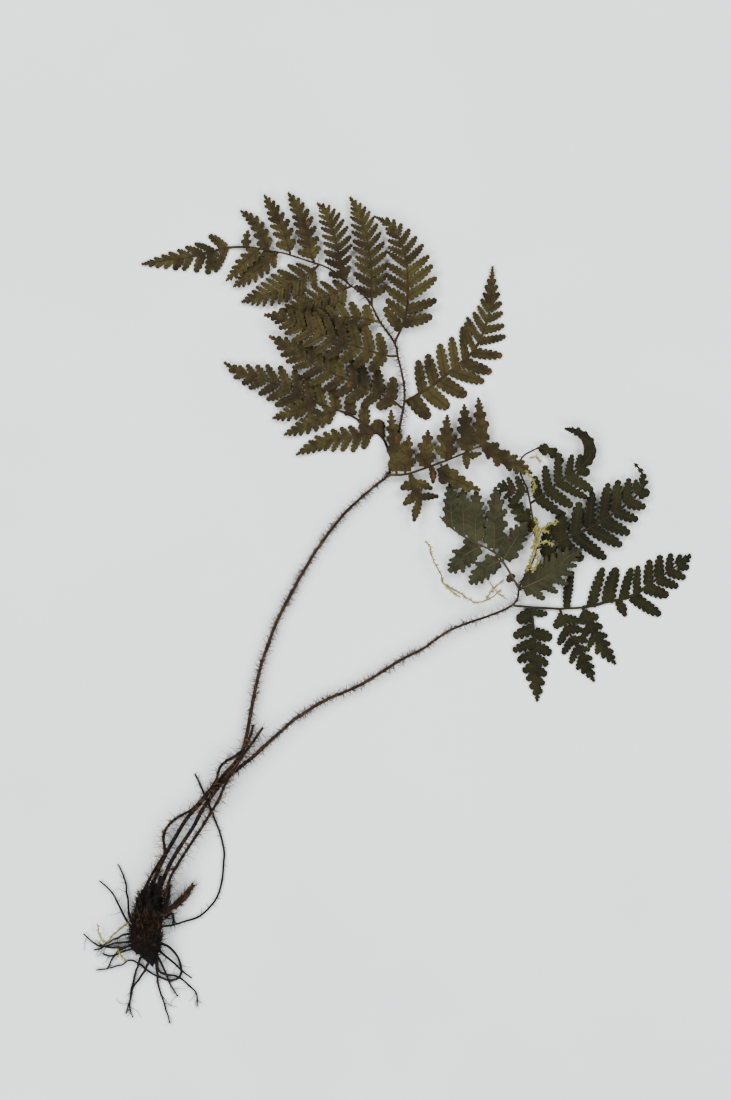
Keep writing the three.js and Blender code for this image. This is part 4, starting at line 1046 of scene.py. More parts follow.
@dataclass(frozen=True)
class StalkFinish:
    """A ridged stalk, a rib or a root.

    Attributes:
        young: colour of its far end, if that is another.
        young_from, young_to: where it changes, in cm.
        pale_share: how much of the pale colour lies on its ridges.
    """

    name: str
    plain: Colour
    shade: Colour
    pale: Colour
    young: Colour | None = None
    young_from: float = 5.0
    young_to: float = 11.0
    ridges: float = 9.0
    pale_share: float = 0.3
    roughness: float = 0.5
    ridge_depth: float = 0.0002

    def make(self, groups: SharedGroups) -> Material:
        """Builds the material."""
        finish, desk, shader = start_finish(self.name, self.roughness, 0.12)
        stalk_map = desk.piece_map()
        grain = desk.fed("ShaderNodeGroup", {"Map": stalk_map, "Ridges": self.ridges},
                         node_tree=groups.grain).outputs
        fine = desk.clouds(desk.object_place(), 1500, 4, 0.65)
        streak = desk.sums("MULTIPLY_ADD", grain["Grain"], 0.6, desk.sums("MULTIPLY", fine, 0.4))
        pale_share = desk.sums("MULTIPLY", desk.band(streak, 0.48, 0.68), self.pale_share)
        colour = desk.blend(desk.band(grain["Bands"], 0.4, 0.6), self.plain, self.shade)
        if self.young:
            run = desk.fed("ShaderNodeSeparateXYZ", {0: stalk_map}).outputs[0]
            age = desk.band(run, self.young_from, self.young_to)
            colour = desk.blend(desk.sums("MULTIPLY", age, 0.8), colour, self.young)
            pale_share = desk.sums("MULTIPLY", pale_share, desk.sums("MULTIPLY_ADD", age, 0.8, 0.2))
        colour = desk.blend(pale_share, colour, self.pale)
        rough = desk.sums("MULTIPLY_ADD", fine, 0.35, self.roughness - 0.17)
        dress(desk, shader, colour, rough, streak, self.ridge_depth)
        return finish


@dataclass(frozen=True)
class ScaleFinish:
    """Papery scales, rootlets or moss leaves, each with its own draw."""

    name: str
    dark: Colour
    middle: Colour
    pale: Colour
    roughness: float = 0.6

    def make(self) -> Material:
        """Builds the material."""
        finish, desk, shader = start_finish(self.name, self.roughness, 0.16)
        place = desk.object_place()
        own = desk.sums("MULTIPLY", desk.attribute("draw"), 0.7)
        draw = desk.sums("MULTIPLY_ADD", desk.clouds(place, 1400, 3, 0.6), 0.5, own)
        colour = desk.blend(desk.band(draw, 0.25, 0.62), self.dark, self.middle)
        colour = desk.blend(desk.band(draw, 0.6, 0.95), colour, self.pale)
        fine = desk.clouds(place, 5200, 3, 0.6)
        rough = desk.sums("MULTIPLY_ADD", fine, 0.3, self.roughness - 0.15)
        dress(desk, shader, colour, rough, fine, 0.00006, 0.6)
        return finish


# What grows on stalks and roots

@dataclass(frozen=True)
class Growth:
    """Small pieces scattered on a surface by Geometry Nodes.

    Attributes:
        name: name of the tree.
        width, length, thickness: size of one piece, in mm.
        bend, twist: how far its tip bends over, as a share of its length, and its turn in degrees.
        density: pieces for each square millimetre.
        lean: 0 to stand off the surface, 1 to lie along it.
        scatter: how far its direction strays.
        size_range: smallest and largest size.
        seed: of every draw.
        floor, ceiling: lowest and highest place that it may reach, in mm.
        cover: the stored value that says how thickly it grows.
        segments: bends of one piece.
    """

    name: str
    width: float
    length: float
    bend: float
    twist: float
    density: float
    lean: float
    scatter: float
    size_range: Point
    seed: int
    floor: float = 0.02
    ceiling: float = 10.1
    cover: str = "fuzz"
    segments: int = 4
    thickness: float = 0.05

    def _one_piece(self) -> Object:
        """Builds the piece that is scattered: a closed, narrow, bent strip along +Z."""
        points, faces = [], []
        for i in range(self.segments + 1):
            share = i / self.segments
            half = self.width / 2 * (1 - share) ** 0.75 * (0.7 + 1.2 * share * (1 - share))
            half = max(half, self.thickness * 0.4)
            turn = math.radians(self.twist) * share
            rise = share * self.length
            over = self.bend * self.length * share * share
            for side, front in ((1, 1), (-1, 1), (-1, -1), (1, -1)):
                across = side * half
                depth = front * self.thickness * (1 - 0.6 * share)
                x = across * math.cos(turn) - depth * math.sin(turn)
                y = across * math.sin(turn) + depth * math.cos(turn)
                points.append(((x + over) * MM, y * MM, rise * MM))
        for i in range(self.segments):
            low, high = i * 4, (i + 1) * 4
            for k in range(4):
                following = (k + 1) % 4
                faces.append((low + k, low + following, high + following, high + k))
        top = self.segments * 4
        faces.extend([(3, 2, 1, 0), (top, top + 1, top + 2, top + 3)])
        mesh = bpy.data.meshes.new(self.name + "_one")
        mesh.from_pydata(points, [], faces)
        mesh.update()
        return bpy.data.objects.new(self.name + "_one", mesh)

    def _tree(self, finish: Material) -> tuple[NodeTree, dict[str, str]]:
        """Builds the node tree and names its inputs' identifiers."""
        desk = NodeDesk(bpy.data.node_groups.new(self.name, "GeometryNodeTree"))
        sockets = {
            "Geometry": "Geometry", "Piece": "Object", "Density": "Float", "Lean": "Float",
            "Scatter": "Float", "Smallest": "Float", "Largest": "Float", "Floor": "Float",
            "Ceiling": "Float", "Seed": "Int",
        }
        identifiers: dict[str, str] = {}
        for label, kind in sockets.items():
            made = desk.tree.interface.new_socket(label, in_out="INPUT", socket_type="NodeSocket" + kind)
            identifiers[label] = made.identifier
        desk.tree.interface.new_socket("Geometry", in_out="OUTPUT", socket_type="NodeSocketGeometry")
        given, out = desk.add("NodeGroupInput").outputs, desk.add("NodeGroupOutput")

        def named(name: str, kind: str) -> Socket:
            """Reads a value stored on the surface."""
            node = desk.fed("GeometryNodeInputNamedAttribute", {"Name": name}, data_type=kind)
            return node.outputs["Attribute"]

        def drawn(offset: float, low: object, high: object, kind: str = "FLOAT") -> Socket:
            """A random value between two others, from a seed of its own."""
            first = 2 if kind == "FLOAT" else 0
            seed = desk.sums("ADD", given["Seed"], offset)
            inputs = {first: low, first + 1: high, "Seed": seed}
            return desk.fed("FunctionNodeRandomValue", inputs, data_type=kind).outputs[first // 2]

        spread = desk.fed("GeometryNodeDistributePointsOnFaces", {
            "Mesh": given["Geometry"], "Seed": given["Seed"],
            "Density": desk.sums("MULTIPLY", given["Density"], named(self.cover, "FLOAT")),
        }).outputs
        direction = desk.fed("ShaderNodeMix", {
            0: given["Lean"], 4: spread["Normal"], 5: named("grow", "FLOAT_VECTOR"),
        }, data_type="VECTOR")
        stray = desk.fed("ShaderNodeVectorMath", {
            0: drawn(3.0, (-1, -1, -1), (1, 1, 1), "FLOAT_VECTOR"), "Scale": given["Scatter"],
        }, operation="SCALE")
        strayed = desk.fed("ShaderNodeVectorMath", {0: direction.outputs[1], 1: stray.outputs[0]},
                           operation="ADD")
        aligned = desk.fed("FunctionNodeAlignRotationToVector", {"Vector": strayed.outputs[0]}, axis="Z")
        spin = desk.fed("FunctionNodeAxisAngleToRotation",
                        {"Axis": (0, 0, 1), "Angle": drawn(7.0, 0.0, 2 * math.pi)})
        turned_about = desk.fed("FunctionNodeRotateRotation", {0: aligned.outputs[0], 1: spin.outputs[0]},
                                rotation_space="LOCAL")
        one = desk.fed("GeometryNodeObjectInfo", {"Object": given["Piece"]}, transform_space="ORIGINAL")
        placed = desk.fed("GeometryNodeInstanceOnPoints", {
            "Points": spread["Points"], "Instance": one.outputs["Geometry"],
            "Rotation": turned_about.outputs[0], "Scale": drawn(11.0, given["Smallest"], given["Largest"]),
        })
        stored = desk.fed("GeometryNodeStoreNamedAttribute", {
            "Geometry": placed.outputs[0], "Name": "draw", "Value": drawn(17.0, 0.0, 1.0),
        }, data_type="FLOAT", domain="INSTANCE")
        real = desk.fed("GeometryNodeRealizeInstances", {0: stored.outputs[0]})
        place = desk.add("GeometryNodeInputPosition").outputs[0]
        parts = desk.fed("ShaderNodeSeparateXYZ", {0: place}).outputs
        lifted = desk.sums("MINIMUM", desk.sums("MAXIMUM", parts[2], given["Floor"]), given["Ceiling"])
        whole = desk.fed("ShaderNodeCombineXYZ", {0: parts[0], 1: parts[1], 2: lifted})
        moved = desk.fed("GeometryNodeSetPosition",
                         {"Geometry": real.outputs[0], "Position": whole.outputs[0]})
        dressed = desk.fed("GeometryNodeSetMaterial", {"Geometry": moved.outputs[0], "Material": finish})
        joined = desk.add("GeometryNodeJoinGeometry")
        desk.join(given["Geometry"], joined.inputs[0])
        desk.join(dressed.outputs[0], joined.inputs[0])
        desk.join(joined.outputs[0], out.inputs[0])
        return desk.tree, identifiers

    def grow_on(self, piece: Object, finish: Material) -> None:
        """Scatters the small pieces and keeps the result as the piece's own mesh.

        Args:
            piece: object with the attributes grow and fuzz.
            finish: material of what grows.
        """
        tree, identifiers = self._tree(finish)
        one = self._one_piece()
        modifier = piece.modifiers.new(self.name, "NODES")
        modifier.node_group = tree
        values = {
            "Piece": one, "Density": self.density / (MM * MM), "Lean": self.lean, "Scatter": self.scatter,
            "Smallest": self.size_range[0], "Largest": self.size_range[1], "Floor": self.floor * MM,
            "Ceiling": self.ceiling * MM, "Seed": self.seed,
        }
        for label, value in values.items():
            modifier[identifiers[label]] = value
        evaluated = piece.evaluated_get(bpy.context.evaluated_depsgraph_get())
        mesh = bpy.data.meshes.new_from_object(evaluated)
        piece.modifiers.remove(modifier)
        piece.data = mesh
        bpy.data.objects.remove(one)


def raised(route: Points, heights: list[float], rest: float) -> Points:
    """Heights for a flat route: one for each of its first points, then one for all the others."""
    held = heights + [rest] * (len(route) - len(heights))
    return [[x, y, height] for (x, y), height in zip(route, held)]


# Stalk and root routes, as in the solids (mm)
UPPER_STALK = raised(
    [[-102, -125], [-99.6, -118], [-97, -112], [-94.6, -106.5], [-92.6, -102.4], [-88.7, -95.7],
     [-86, -91], [-83.3, -87.2], [-80.3, -84], [-77.2, -80.3], [-74, -76.6], [-71, -72.8], [-68, -69.5],
     [-65.3, -66.5], [-62.4, -63], [-60.8, -59.6], [-59.6, -55], [-57.7, -45], [-55.8, -35], [-53.4, -25],
     [-50.1, -15], [-46.1, -5], [-41, 5], [-35.5, 15], [-29.3, 25], [-21.8, 35], [-15.8, 41.8],
     [-5.5, 50.8], [0, 55.4], [1.7, 61.7], [3, 68], [4.6, 74.3], [6, 81], [6.9, 87], [6.7, 93.2],
     [5.5, 99.5], [4.2, 104.6], [2.7, 110.8], [-3.4, 119.7], [-7.6, 127.7], [-11.8, 132.3], [-16, 135],
     [-21, 139.4], [-26.5, 142.8], [-32.8, 144.9], [-43.3, 148.3], [-49.6, 149.4], [-55.9, 150.8],
     [-63, 151.2]],
    [4.8, 4.2, 3.5, 3, 2.75, 2.45, 2.35, 2.35, 2.35, 2.35, 2.35, 2.35, 2.35, 2.35, 2.3, 2.25, 2.2, 2.1, 2,
     1.9, 1.8, 1.7],
    RACHIS_HEIGHT,
)
LOWER_STALK = raised(
    [[-97.6, -124.5], [-96, -119], [-94, -114], [-92, -109], [-90, -105.2], [-88, -101.8], [-85, -97.2],
     [-82, -92.8], [-80, -89], [-78, -85.2], [-75.5, -81.5], [-73, -77.9], [-70.5, -74.6], [-68, -71.8],
     [-65, -69.3], [-60, -65.5], [-56, -62.3], [-50, -56.6], [-45, -52.2], [-40, -47.7], [-35, -44.3],
     [-30, -41.1], [-25, -38.4], [-20, -36.3], [-15, -34.2], [-10, -31.8], [0, -25.5], [5, -22.3],
     [10, -19.8], [15, -17.2], [20, -13.6], [25, -10.2], [30, -8], [36, -5.8], [40, -4.5], [45, -2.6],
     [50, -0.5], [54, 2.8], [55, 8], [57.5, 13.4], [60.9, 19.7], [62.2, 24.8], [61.3, 32.3], [60.1, 40.7],
     [58.4, 49.1], [55.8, 55.4], [55.2, 60.4], [57, 63.6], [60.5, 65.6], [64, 67.3]],
    [5.4, 5.1, 4.8, 4.5, 4.3, 4.1, 4, 3.9, 3.8, 3.8, 3.8, 3.8, 3.8, 3.8, 3.7, 3.5, 3.3, 3, 2.8, 2.55, 2.35,
     2.15, 2.05, 1.95, 1.85, 1.75],
    RACHIS_HEIGHT,
)
WIRY_STALK = raised(
    [[-94.5, -133.8], [-90.5, -133.4], [-85.3, -131.9], [-79.8, -130.2], [-75.6, -126.8], [-71.8, -121.8],
     [-69.7, -114.7], [-69, -107], [-68.8, -102.5], [-70.5, -95], [-72.6, -89.5], [-74.2, -85.5],
     [-76.2, -80.6], [-78.5, -75.6], [-79.8, -72.5], [-81.2, -70]],
    [3.4, 2.4, 1.2],
    WIRY_STALK_HEIGHT,
)
OLD_STALK_RIGHT = [
    [-94.3, -122, 7.2], [-92.5, -118, 6.9], [-91, -113, 6.4], [-88, -107.5, 5.6], [-85.5, -103.5, 5],
    [-83, -99.7, 4.5], [-79.5, -94.5, 3.9], [-76.5, -89.8, 3.4], [-74, -85.8, 3.2], [-71.5, -81.5, 3.7],
    [-69.8, -78, 4.3], [-68.3, -74.4, 5], [-66.6, -71.3, 5.6], [-64.6, -68, 5.8], [-62.6, -65, 5.7],
    [-60.5, -61.5, 5.4], [-58, -58.3, 5.1], [-55.3, -54.5, 4.4], [-52.4, -50.3, 3.6],
]
OLD_STALK_LEFT = [
    [-103.2, -123, 6], [-101.9, -118, 5.4], [-99.4, -113, 4.9], [-96.8, -108.5, 4.75], [-94.6, -105, 4.65],
    [-93.4, -102.5, 4.5], [-93.8, -99.5, 3.9], [-94.2, -96.5, 3.4], [-93, -93, 3.1], [-91, -90.3, 3.3],
    [-88, -88, 3.8], [-85, -86.3, 4.3], [-82.5, -85, 4.4], [-79.4, -82, 4.4], [-76.2, -78.2, 4.4],
    [-73.2, -74.4, 4.4], [-71.5, -71, 4.4], [-70.8, -68, 4.4], [-69.5, -65.8, 4.4], [-67, -64, 4.4],
    [-64, -62.3, 4.4], [-61.4, -60.2, 4.3], [-59.4, -57.3, 4.2], [-57.6, -53.6, 4.1], [-56.5, -49.2, 3.6],
]
FROND_BUD = [
    [-94.5, -128.5, 5], [-91.5, -126.4, 4.6], [-88.2, -124.1, 3.6], [-84.8, -120.8, 2.6],
    [-81.5, -116.3, 2.2],
]
ROOTS = [raised(route, heights, ROOT_HEIGHT) for route, heights in (
    ([[-105, -134], [-108.4, -129.4], [-110, -116.8], [-112.6, -109.2], [-113.8, -107.9]], [5, 2.2, 0.8]),
    ([[-105, -136], [-109.2, -132.3], [-114.7, -121.8], [-117.6, -118], [-121.4, -114.7]], [4, 2, 0.8]),
    ([[-105, -138], [-109.5, -137], [-113.5, -139], [-118.5, -141.2], [-121, -143.2]], [4, 2.6, 1.2, 0.8]),
    ([[-104, -140], [-109.5, -140.5], [-114.7, -141.1], [-121, -143.2], [-123.5, -144.1]],
     [4, 2, 1.2, 0.7]),
    ([[-104, -141], [-112.6, -143], [-119.5, -142.4], [-123.1, -141.3], [-127.8, -137.3]], [3, 1.2, 0.7]),
    ([[-104, -141], [-109.5, -142.4], [-113.4, -144.9], [-115.9, -148.3], [-118, -151.3]], [3, 1.8, 0.9]),
    ([[-104, -142], [-110.5, -144.4], [-115.5, -146.6], [-120.1, -145.3]], [3, 1.4, 0.7]),
    ([[-98, -140], [-94.5, -141.2], [-91.2, -143.2], [-88, -147.4], [-86.9, -152.5], [-88.2, -155.8],
     [-91.6, -156.7], [-95.8, -155.4], [-100, -153.3], [-104.2, -149.9], [-108.4, -148.4],
     [-112.6, -150.4], [-117.6, -151.6], [-122.6, -152.5]], [5, 2.6, 1.6, 0.9, 0.7]),
    ([[-101.5, -142], [-105, -150.4], [-107.1, -157.5], [-108.4, -164.2], [-108.2, -168.5],
     [-107.3, -172.2]], [3, 1]),
    ([[-99, -146], [-103.3, -154.6], [-106.6, -158.8], [-108.2, -164], [-109.7, -171]], [2.5, 1, 0.7]),
    ([[-98, -145], [-97, -152], [-96.6, -158], [-94.1, -165.9], [-91.6, -174.9]], [3, 1.2, 0.7]),
    ([[-97.5, -145], [-94.5, -150.5], [-92.4, -156.2], [-90.3, -160.4], [-88.2, -163.4]], [3, 1.6, 0.8]),
    ([[-97, -146], [-95.8, -153], [-88.2, -155.2], [-83.2, -159.2], [-80.4, -162.3], [-80.2, -167.6]],
     [3, 1.2, 0.7]),
    ([[-98, -142], [-93.6, -146.2], [-89.6, -149.6], [-86.5, -152.7], [-82.3, -155.8]], [4.5, 2, 1, 0.7]),
)]

# The cut stalk bases: route and radius (mm)
STALK_STUBS = [
    ([[-103.2, -131, 5.5], [-104.8, -125.2, 4.6], [-104.2, -121.5, 4.4]], 1.0),
    ([[-102.4, -127.5, 7.6], [-103.4, -122.6, 8], [-103.8, -119.4, 8]], 0.9),
    ([[-97.5, -124, 8], [-96.3, -117.5, 8.4], [-94.6, -112.2, 8]], 1.1),
    ([[-93.5, -126.5, 6.8], [-91.9, -121, 7.2], [-91.6, -115.6, 7]], 0.8),
    ([[-99, -127, 8.6], [-100.4, -121.4, 9], [-99.8, -117, 9]], 1.3),
    ([[-93.6, -130, 4], [-90.6, -128.6, 3], [-89.8, -132.6, 2]], 0.6),
]


def even(rib: Points, count: int, left: list[float], right: list[float], **shape: float) -> Blade:
    """A rib with rows of the same count and shape on both sides."""
    return Blade(rib, Row(count, left, **shape), Row(count, right, **shape))


def lone(rib: Points, widths: list[float]) -> Blade:
    """A single leaflet that follows its own rib."""
    return Blade(rib, rib_widths=widths)


# Pinnae of the fronds, as in the solids (mm)
UPPER_PINNAE = [
    Pinna("upper_frond_tip", 0, [
        Blade([[-58, 151], [-62, 151.2], [-68.5, 150.8], [-74.8, 149.1], [-83.2, 147], [-91.6, 145.7],
            [-103.6, 144]],
            left=Row(9, [11, 10.5, 8, 5, 3, 1.2], start=0.16),
            right=Row(9, [6.5, 6.5, 5.5, 4.2, 2.4, 1], start=0.16, slant=[44, 36])),
    ]),
    Pinna("upper_outer_pinna_9", 2, [
        even([[-59.6, 150.6], [-59.4, 155], [-58.6, 158.2]], 3, [2.8, 2, 1], [2.8, 2, 1]),
    ]),
    Pinna("upper_outer_pinna_8", 1, [
        even([[-50, 149.6], [-53, 156.5], [-56, 161.5], [-62, 166.5]],
            7, [4, 3.6, 2.8, 1], [2.8, 3.4, 3, 1]),
    ]),
    Pinna("upper_outer_pinna_7", 2, [
        even([[-41, 148], [-43, 155], [-45, 160], [-48, 166], [-52, 173]],
            8, [5, 4.9, 4.6, 3, 1], [3.6, 4, 4.2, 3.4, 1.2]),
    ]),
    Pinna("upper_outer_pinna_6", 1, [
        even([[-31, 144.4], [-32.5, 149], [-33.5, 154], [-35, 160], [-38, 167], [-42, 174]],
            9, [5.6, 4.9, 4.4, 3.4, 1], [4.4, 4.6, 4.8, 4.2, 1.4]),
    ]),
    Pinna("upper_outer_pinna_5", 2, [
        even([[-17, 135.8], [-19.3, 141], [-20.5, 146], [-21.5, 152], [-23.7, 160], [-26.2, 166],
            [-29.8, 169.4]],
            11, [4, 6.4, 5.9, 5.4, 4.3, 1.4], [2.6, 5.2, 6.6, 6.4, 5, 1.6]),
    ]),
    Pinna("upper_outer_pinna_4", 1, [
        even([[-6.8, 126.5], [-7, 135], [-7, 143], [-8, 150], [-10, 159], [-12.5, 166], [-16, 172]],
            13, [7, 7.6, 6.9, 6.2, 4.6, 1.4], [6.4, 7.2, 7.4, 6.6, 4.8, 1.6]),
    ]),
    Pinna("upper_outer_pinna_3", 2, [
        Blade([[2.7, 110.8], [6, 118], [7.6, 124], [8.3, 130], [8.2, 138], [7.5, 146], [5, 154], [1, 160],
            [-6, 164]],
            left=Row(13, [9, 10, 9.8, 9.6, 9.4, 8, 5.4, 2.8, 0.8], taper=0.45),
            right=Row(13, [7, 10, 11.8, 12, 11.2, 8.6, 5.8, 2.8, 0.8], start=0.1, taper=0.45)),
    ]),
    Pinna("upper_inner_pinna_8", 2, [
        even([[-53.6, 150.4], [-57, 147.8], [-60.5, 144.5], [-64, 140.4], [-68, 136.8]],
            7, [3.6, 3.8, 3.2, 1], [3.4, 3.6, 3, 1]),
    ]),
    Pinna("upper_inner_pinna_7", 1, [
        even([[-46, 148.8], [-49, 146.6], [-53, 143.5], [-58, 139], [-65, 134.3]],
            8, [4.6, 5, 4, 1.2], [4, 4.4, 3.8, 1.2]),
    ]),
    Pinna("upper_inner_pinna_6", 0, [
        even([[-29, 143.7], [-32, 140.8], [-38, 137.6], [-45, 134], [-52, 131], [-61.5, 128]],
            11, [6, 7, 7, 5, 1.4], [5, 7.6, 7.4, 5, 1.4]),
    ]),
    Pinna("upper_inner_pinna_5", 1, [
        even([[-15.4, 134.6], [-20, 132.6], [-25, 130.8], [-30, 129], [-37, 126.5], [-46, 123.5]],
            10, [7, 8, 7, 4, 1.4], [4, 6.6, 6.5, 4, 1.4]),
    ]),
    Pinna("upper_inner_pinna_4", 2, [
        even([[-3.6, 119.6], [-12, 121.3], [-18, 121.4], [-25, 120.8], [-34, 119.6], [-44, 117.5]],
            10, [5, 7, 7, 5, 1.4], [5, 6.6, 6, 4, 1.4]),
    ]),
    Pinna("upper_inner_pinna_3", 3, [
        even([[4, 105.2], [0, 105.3], [-8, 107.5], [-19, 111], [-30, 115], [-37, 118], [-45, 121.4],
            [-52, 122.5]],
            12, [7, 9, 9, 8.5, 6, 1.5], [7, 9.4, 9.4, 8.8, 6, 1.5]),
    ], spread=1.05),
    Pinna("upper_inner_pinna_2", 1, [
        even([[6.4, 83.2], [1, 87.2], [-4, 89.8], [-8, 91.3], [-15, 94.5], [-20, 96.5], [-28, 100.2],
            [-35, 104.5], [-45, 111], [-50, 113.7]],
            13, [5, 8, 9, 8.5, 6, 1.5], [8, 9.4, 9, 8, 5.5, 1.5]),
    ], spread=1.04),
    Pinna("upper_inner_pinna_1", 0, [
        Blade([[1.7, 61.4], [-0.8, 68], [-2.6, 71.4], [-7.6, 75.2], [-13.9, 79.4], [-20.2, 82.3],
            [-28.6, 85.3], [-37, 89.5], [-45.4, 93.2], [-53.8, 95.8], [-62, 98.3], [-69, 102.8]],
            left=Row(9, [8, 9, 9, 7, 4, 1.2], start=0.47),
            right=Row(14, [4, 6, 8, 9, 8.6, 7, 5, 1.2], start=0.12)),
        even([[-29.5, 86], [-36, 84], [-41, 81.4], [-48.6, 79.2]],
            7, [4.2, 4.4, 3.4, 1.2], [3.6, 4, 3, 1]),
        even([[-21, 82.8], [-27, 80.5], [-32, 77.5], [-36, 75.5], [-43.8, 72.2]],
            8, [4.4, 4.8, 3.8, 1.2], [4, 4.4, 3.5, 1]),
        even([[-4.6, 73.2], [-13, 71.4], [-20, 70.7], [-27, 69.6], [-33, 67], [-38.7, 63.8]],
            10, [5, 6, 5.2, 3.5, 1.2], [4.6, 5.4, 4.5, 3, 1]),
    ], spread=1.03),
    Pinna("upper_outer_pinna_2", 0, [
        Blade([[6.7, 86], [10, 88], [15, 90.5], [20, 94], [25, 98], [30, 102], [35, 106.5], [38, 111],
            [40.2, 116], [41.8, 121], [43, 128], [43.5, 135], [43.9, 143.2]],
            left=Row(15, [12.6, 12.6, 12.2, 11.8, 11, 9, 5.2, 2.8, 1], start=0.08, slant=[72, 60, 48, 40],
                taper=0.38),
            right=Row(15, [11, 12, 12.3, 12.4, 12, 10, 6, 3, 1], start=0, slant=[84, 58, 50, 42],
                taper=0.5)),
    ]),
    Pinna("upper_outer_pinna_1", 3, [
        even([[-0.4, 55.4], [7.1, 55.6], [13.4, 57.5], [21.8, 60.5], [30.2, 63.8], [38.6, 67.4],
            [42.8, 65.9], [47, 63], [51.2, 60.9], [55.4, 58.6], [60.5, 55.9]],
            6, [3.4, 4.4, 4.2, 3.6, 1], [3.4, 4, 4, 3.4, 1], start=0.63),
        even([[3.6, 55.6], [3, 62], [2.4, 70], [1.6, 76], [1.2, 82.8]],
            6, [2.6, 3.4, 3, 2.4, 1], [4.6, 5.6, 4, 2.6, 1.2]),
        even([[7.2, 56], [7.4, 62], [8, 67], [8.8, 72.2]], 4, [3.8, 4.2, 2.6, 1], [3.8, 4.4, 3, 1.2]),
        even([[15.4, 58], [15.8, 64], [16.4, 70], [16.8, 74.4]], 4, [4, 4.4, 3.4, 1], [4.4, 4.4, 3.6, 1]),
        even([[24.2, 61], [24.6, 68], [24.6, 75], [24.9, 80.8]],
            5, [3.8, 4.6, 4.6, 2.6, 1], [4, 4.4, 4.2, 2.2, 1]),
        even([[32.6, 64.4], [33, 71], [32.4, 78], [31.9, 85.2]],
            5, [3.4, 4, 4.2, 2.8, 1], [3.6, 4.2, 3.2, 2.6, 1]),
        even([[38.6, 67], [39.4, 74], [38.6, 81], [37.8, 88]],
            5, [2.8, 3.6, 3.4, 2.4, 1], [2.8, 3.4, 2.8, 2.2, 1]),
        lone([[9.2, 56], [10.5, 52], [11.9, 48], [12.8, 44], [11.7, 40], [10.8, 35.8]],
            [0.8, 1.7, 2.3, 1.5, 1.9, 0.6]),
        lone([[11, 51.4], [8, 50.8], [5.2, 49.6]], [1.9, 2.2, 0.8]),
        lone([[12, 47], [9, 45], [6.4, 42.8]], [1.9, 2, 0.7]),
        lone([[10.6, 52.2], [14, 51.6], [18.6, 49.6]], [1.3, 2, 0.7]),
        lone([[12.6, 45.6], [16.4, 46.4], [21.2, 46.4]], [1.4, 1.7, 0.7]),
        lone([[18, 59], [18.8, 55.6], [18.8, 51.8]], [1, 1.6, 0.5]),
        Blade([[22, 60], [24.5, 55.8], [28.5, 53], [33, 50.8], [38.8, 49]],
            left=Row(4, [5.6, 4.4, 3, 1.2], slant=[56, 40]),
            right=Row(4, [5, 4, 2.4, 1.2], slant=[56, 44])),
        lone([[32, 64], [32.8, 61.4], [33.1, 57.8]], [1.1, 1.7, 0.5]),
        lone([[31.2, 63.4], [35.4, 63.6], [39.2, 64.5]], [1.1, 1.7, 0.5]),
    ], wing=(0.6, 0.4)),
]

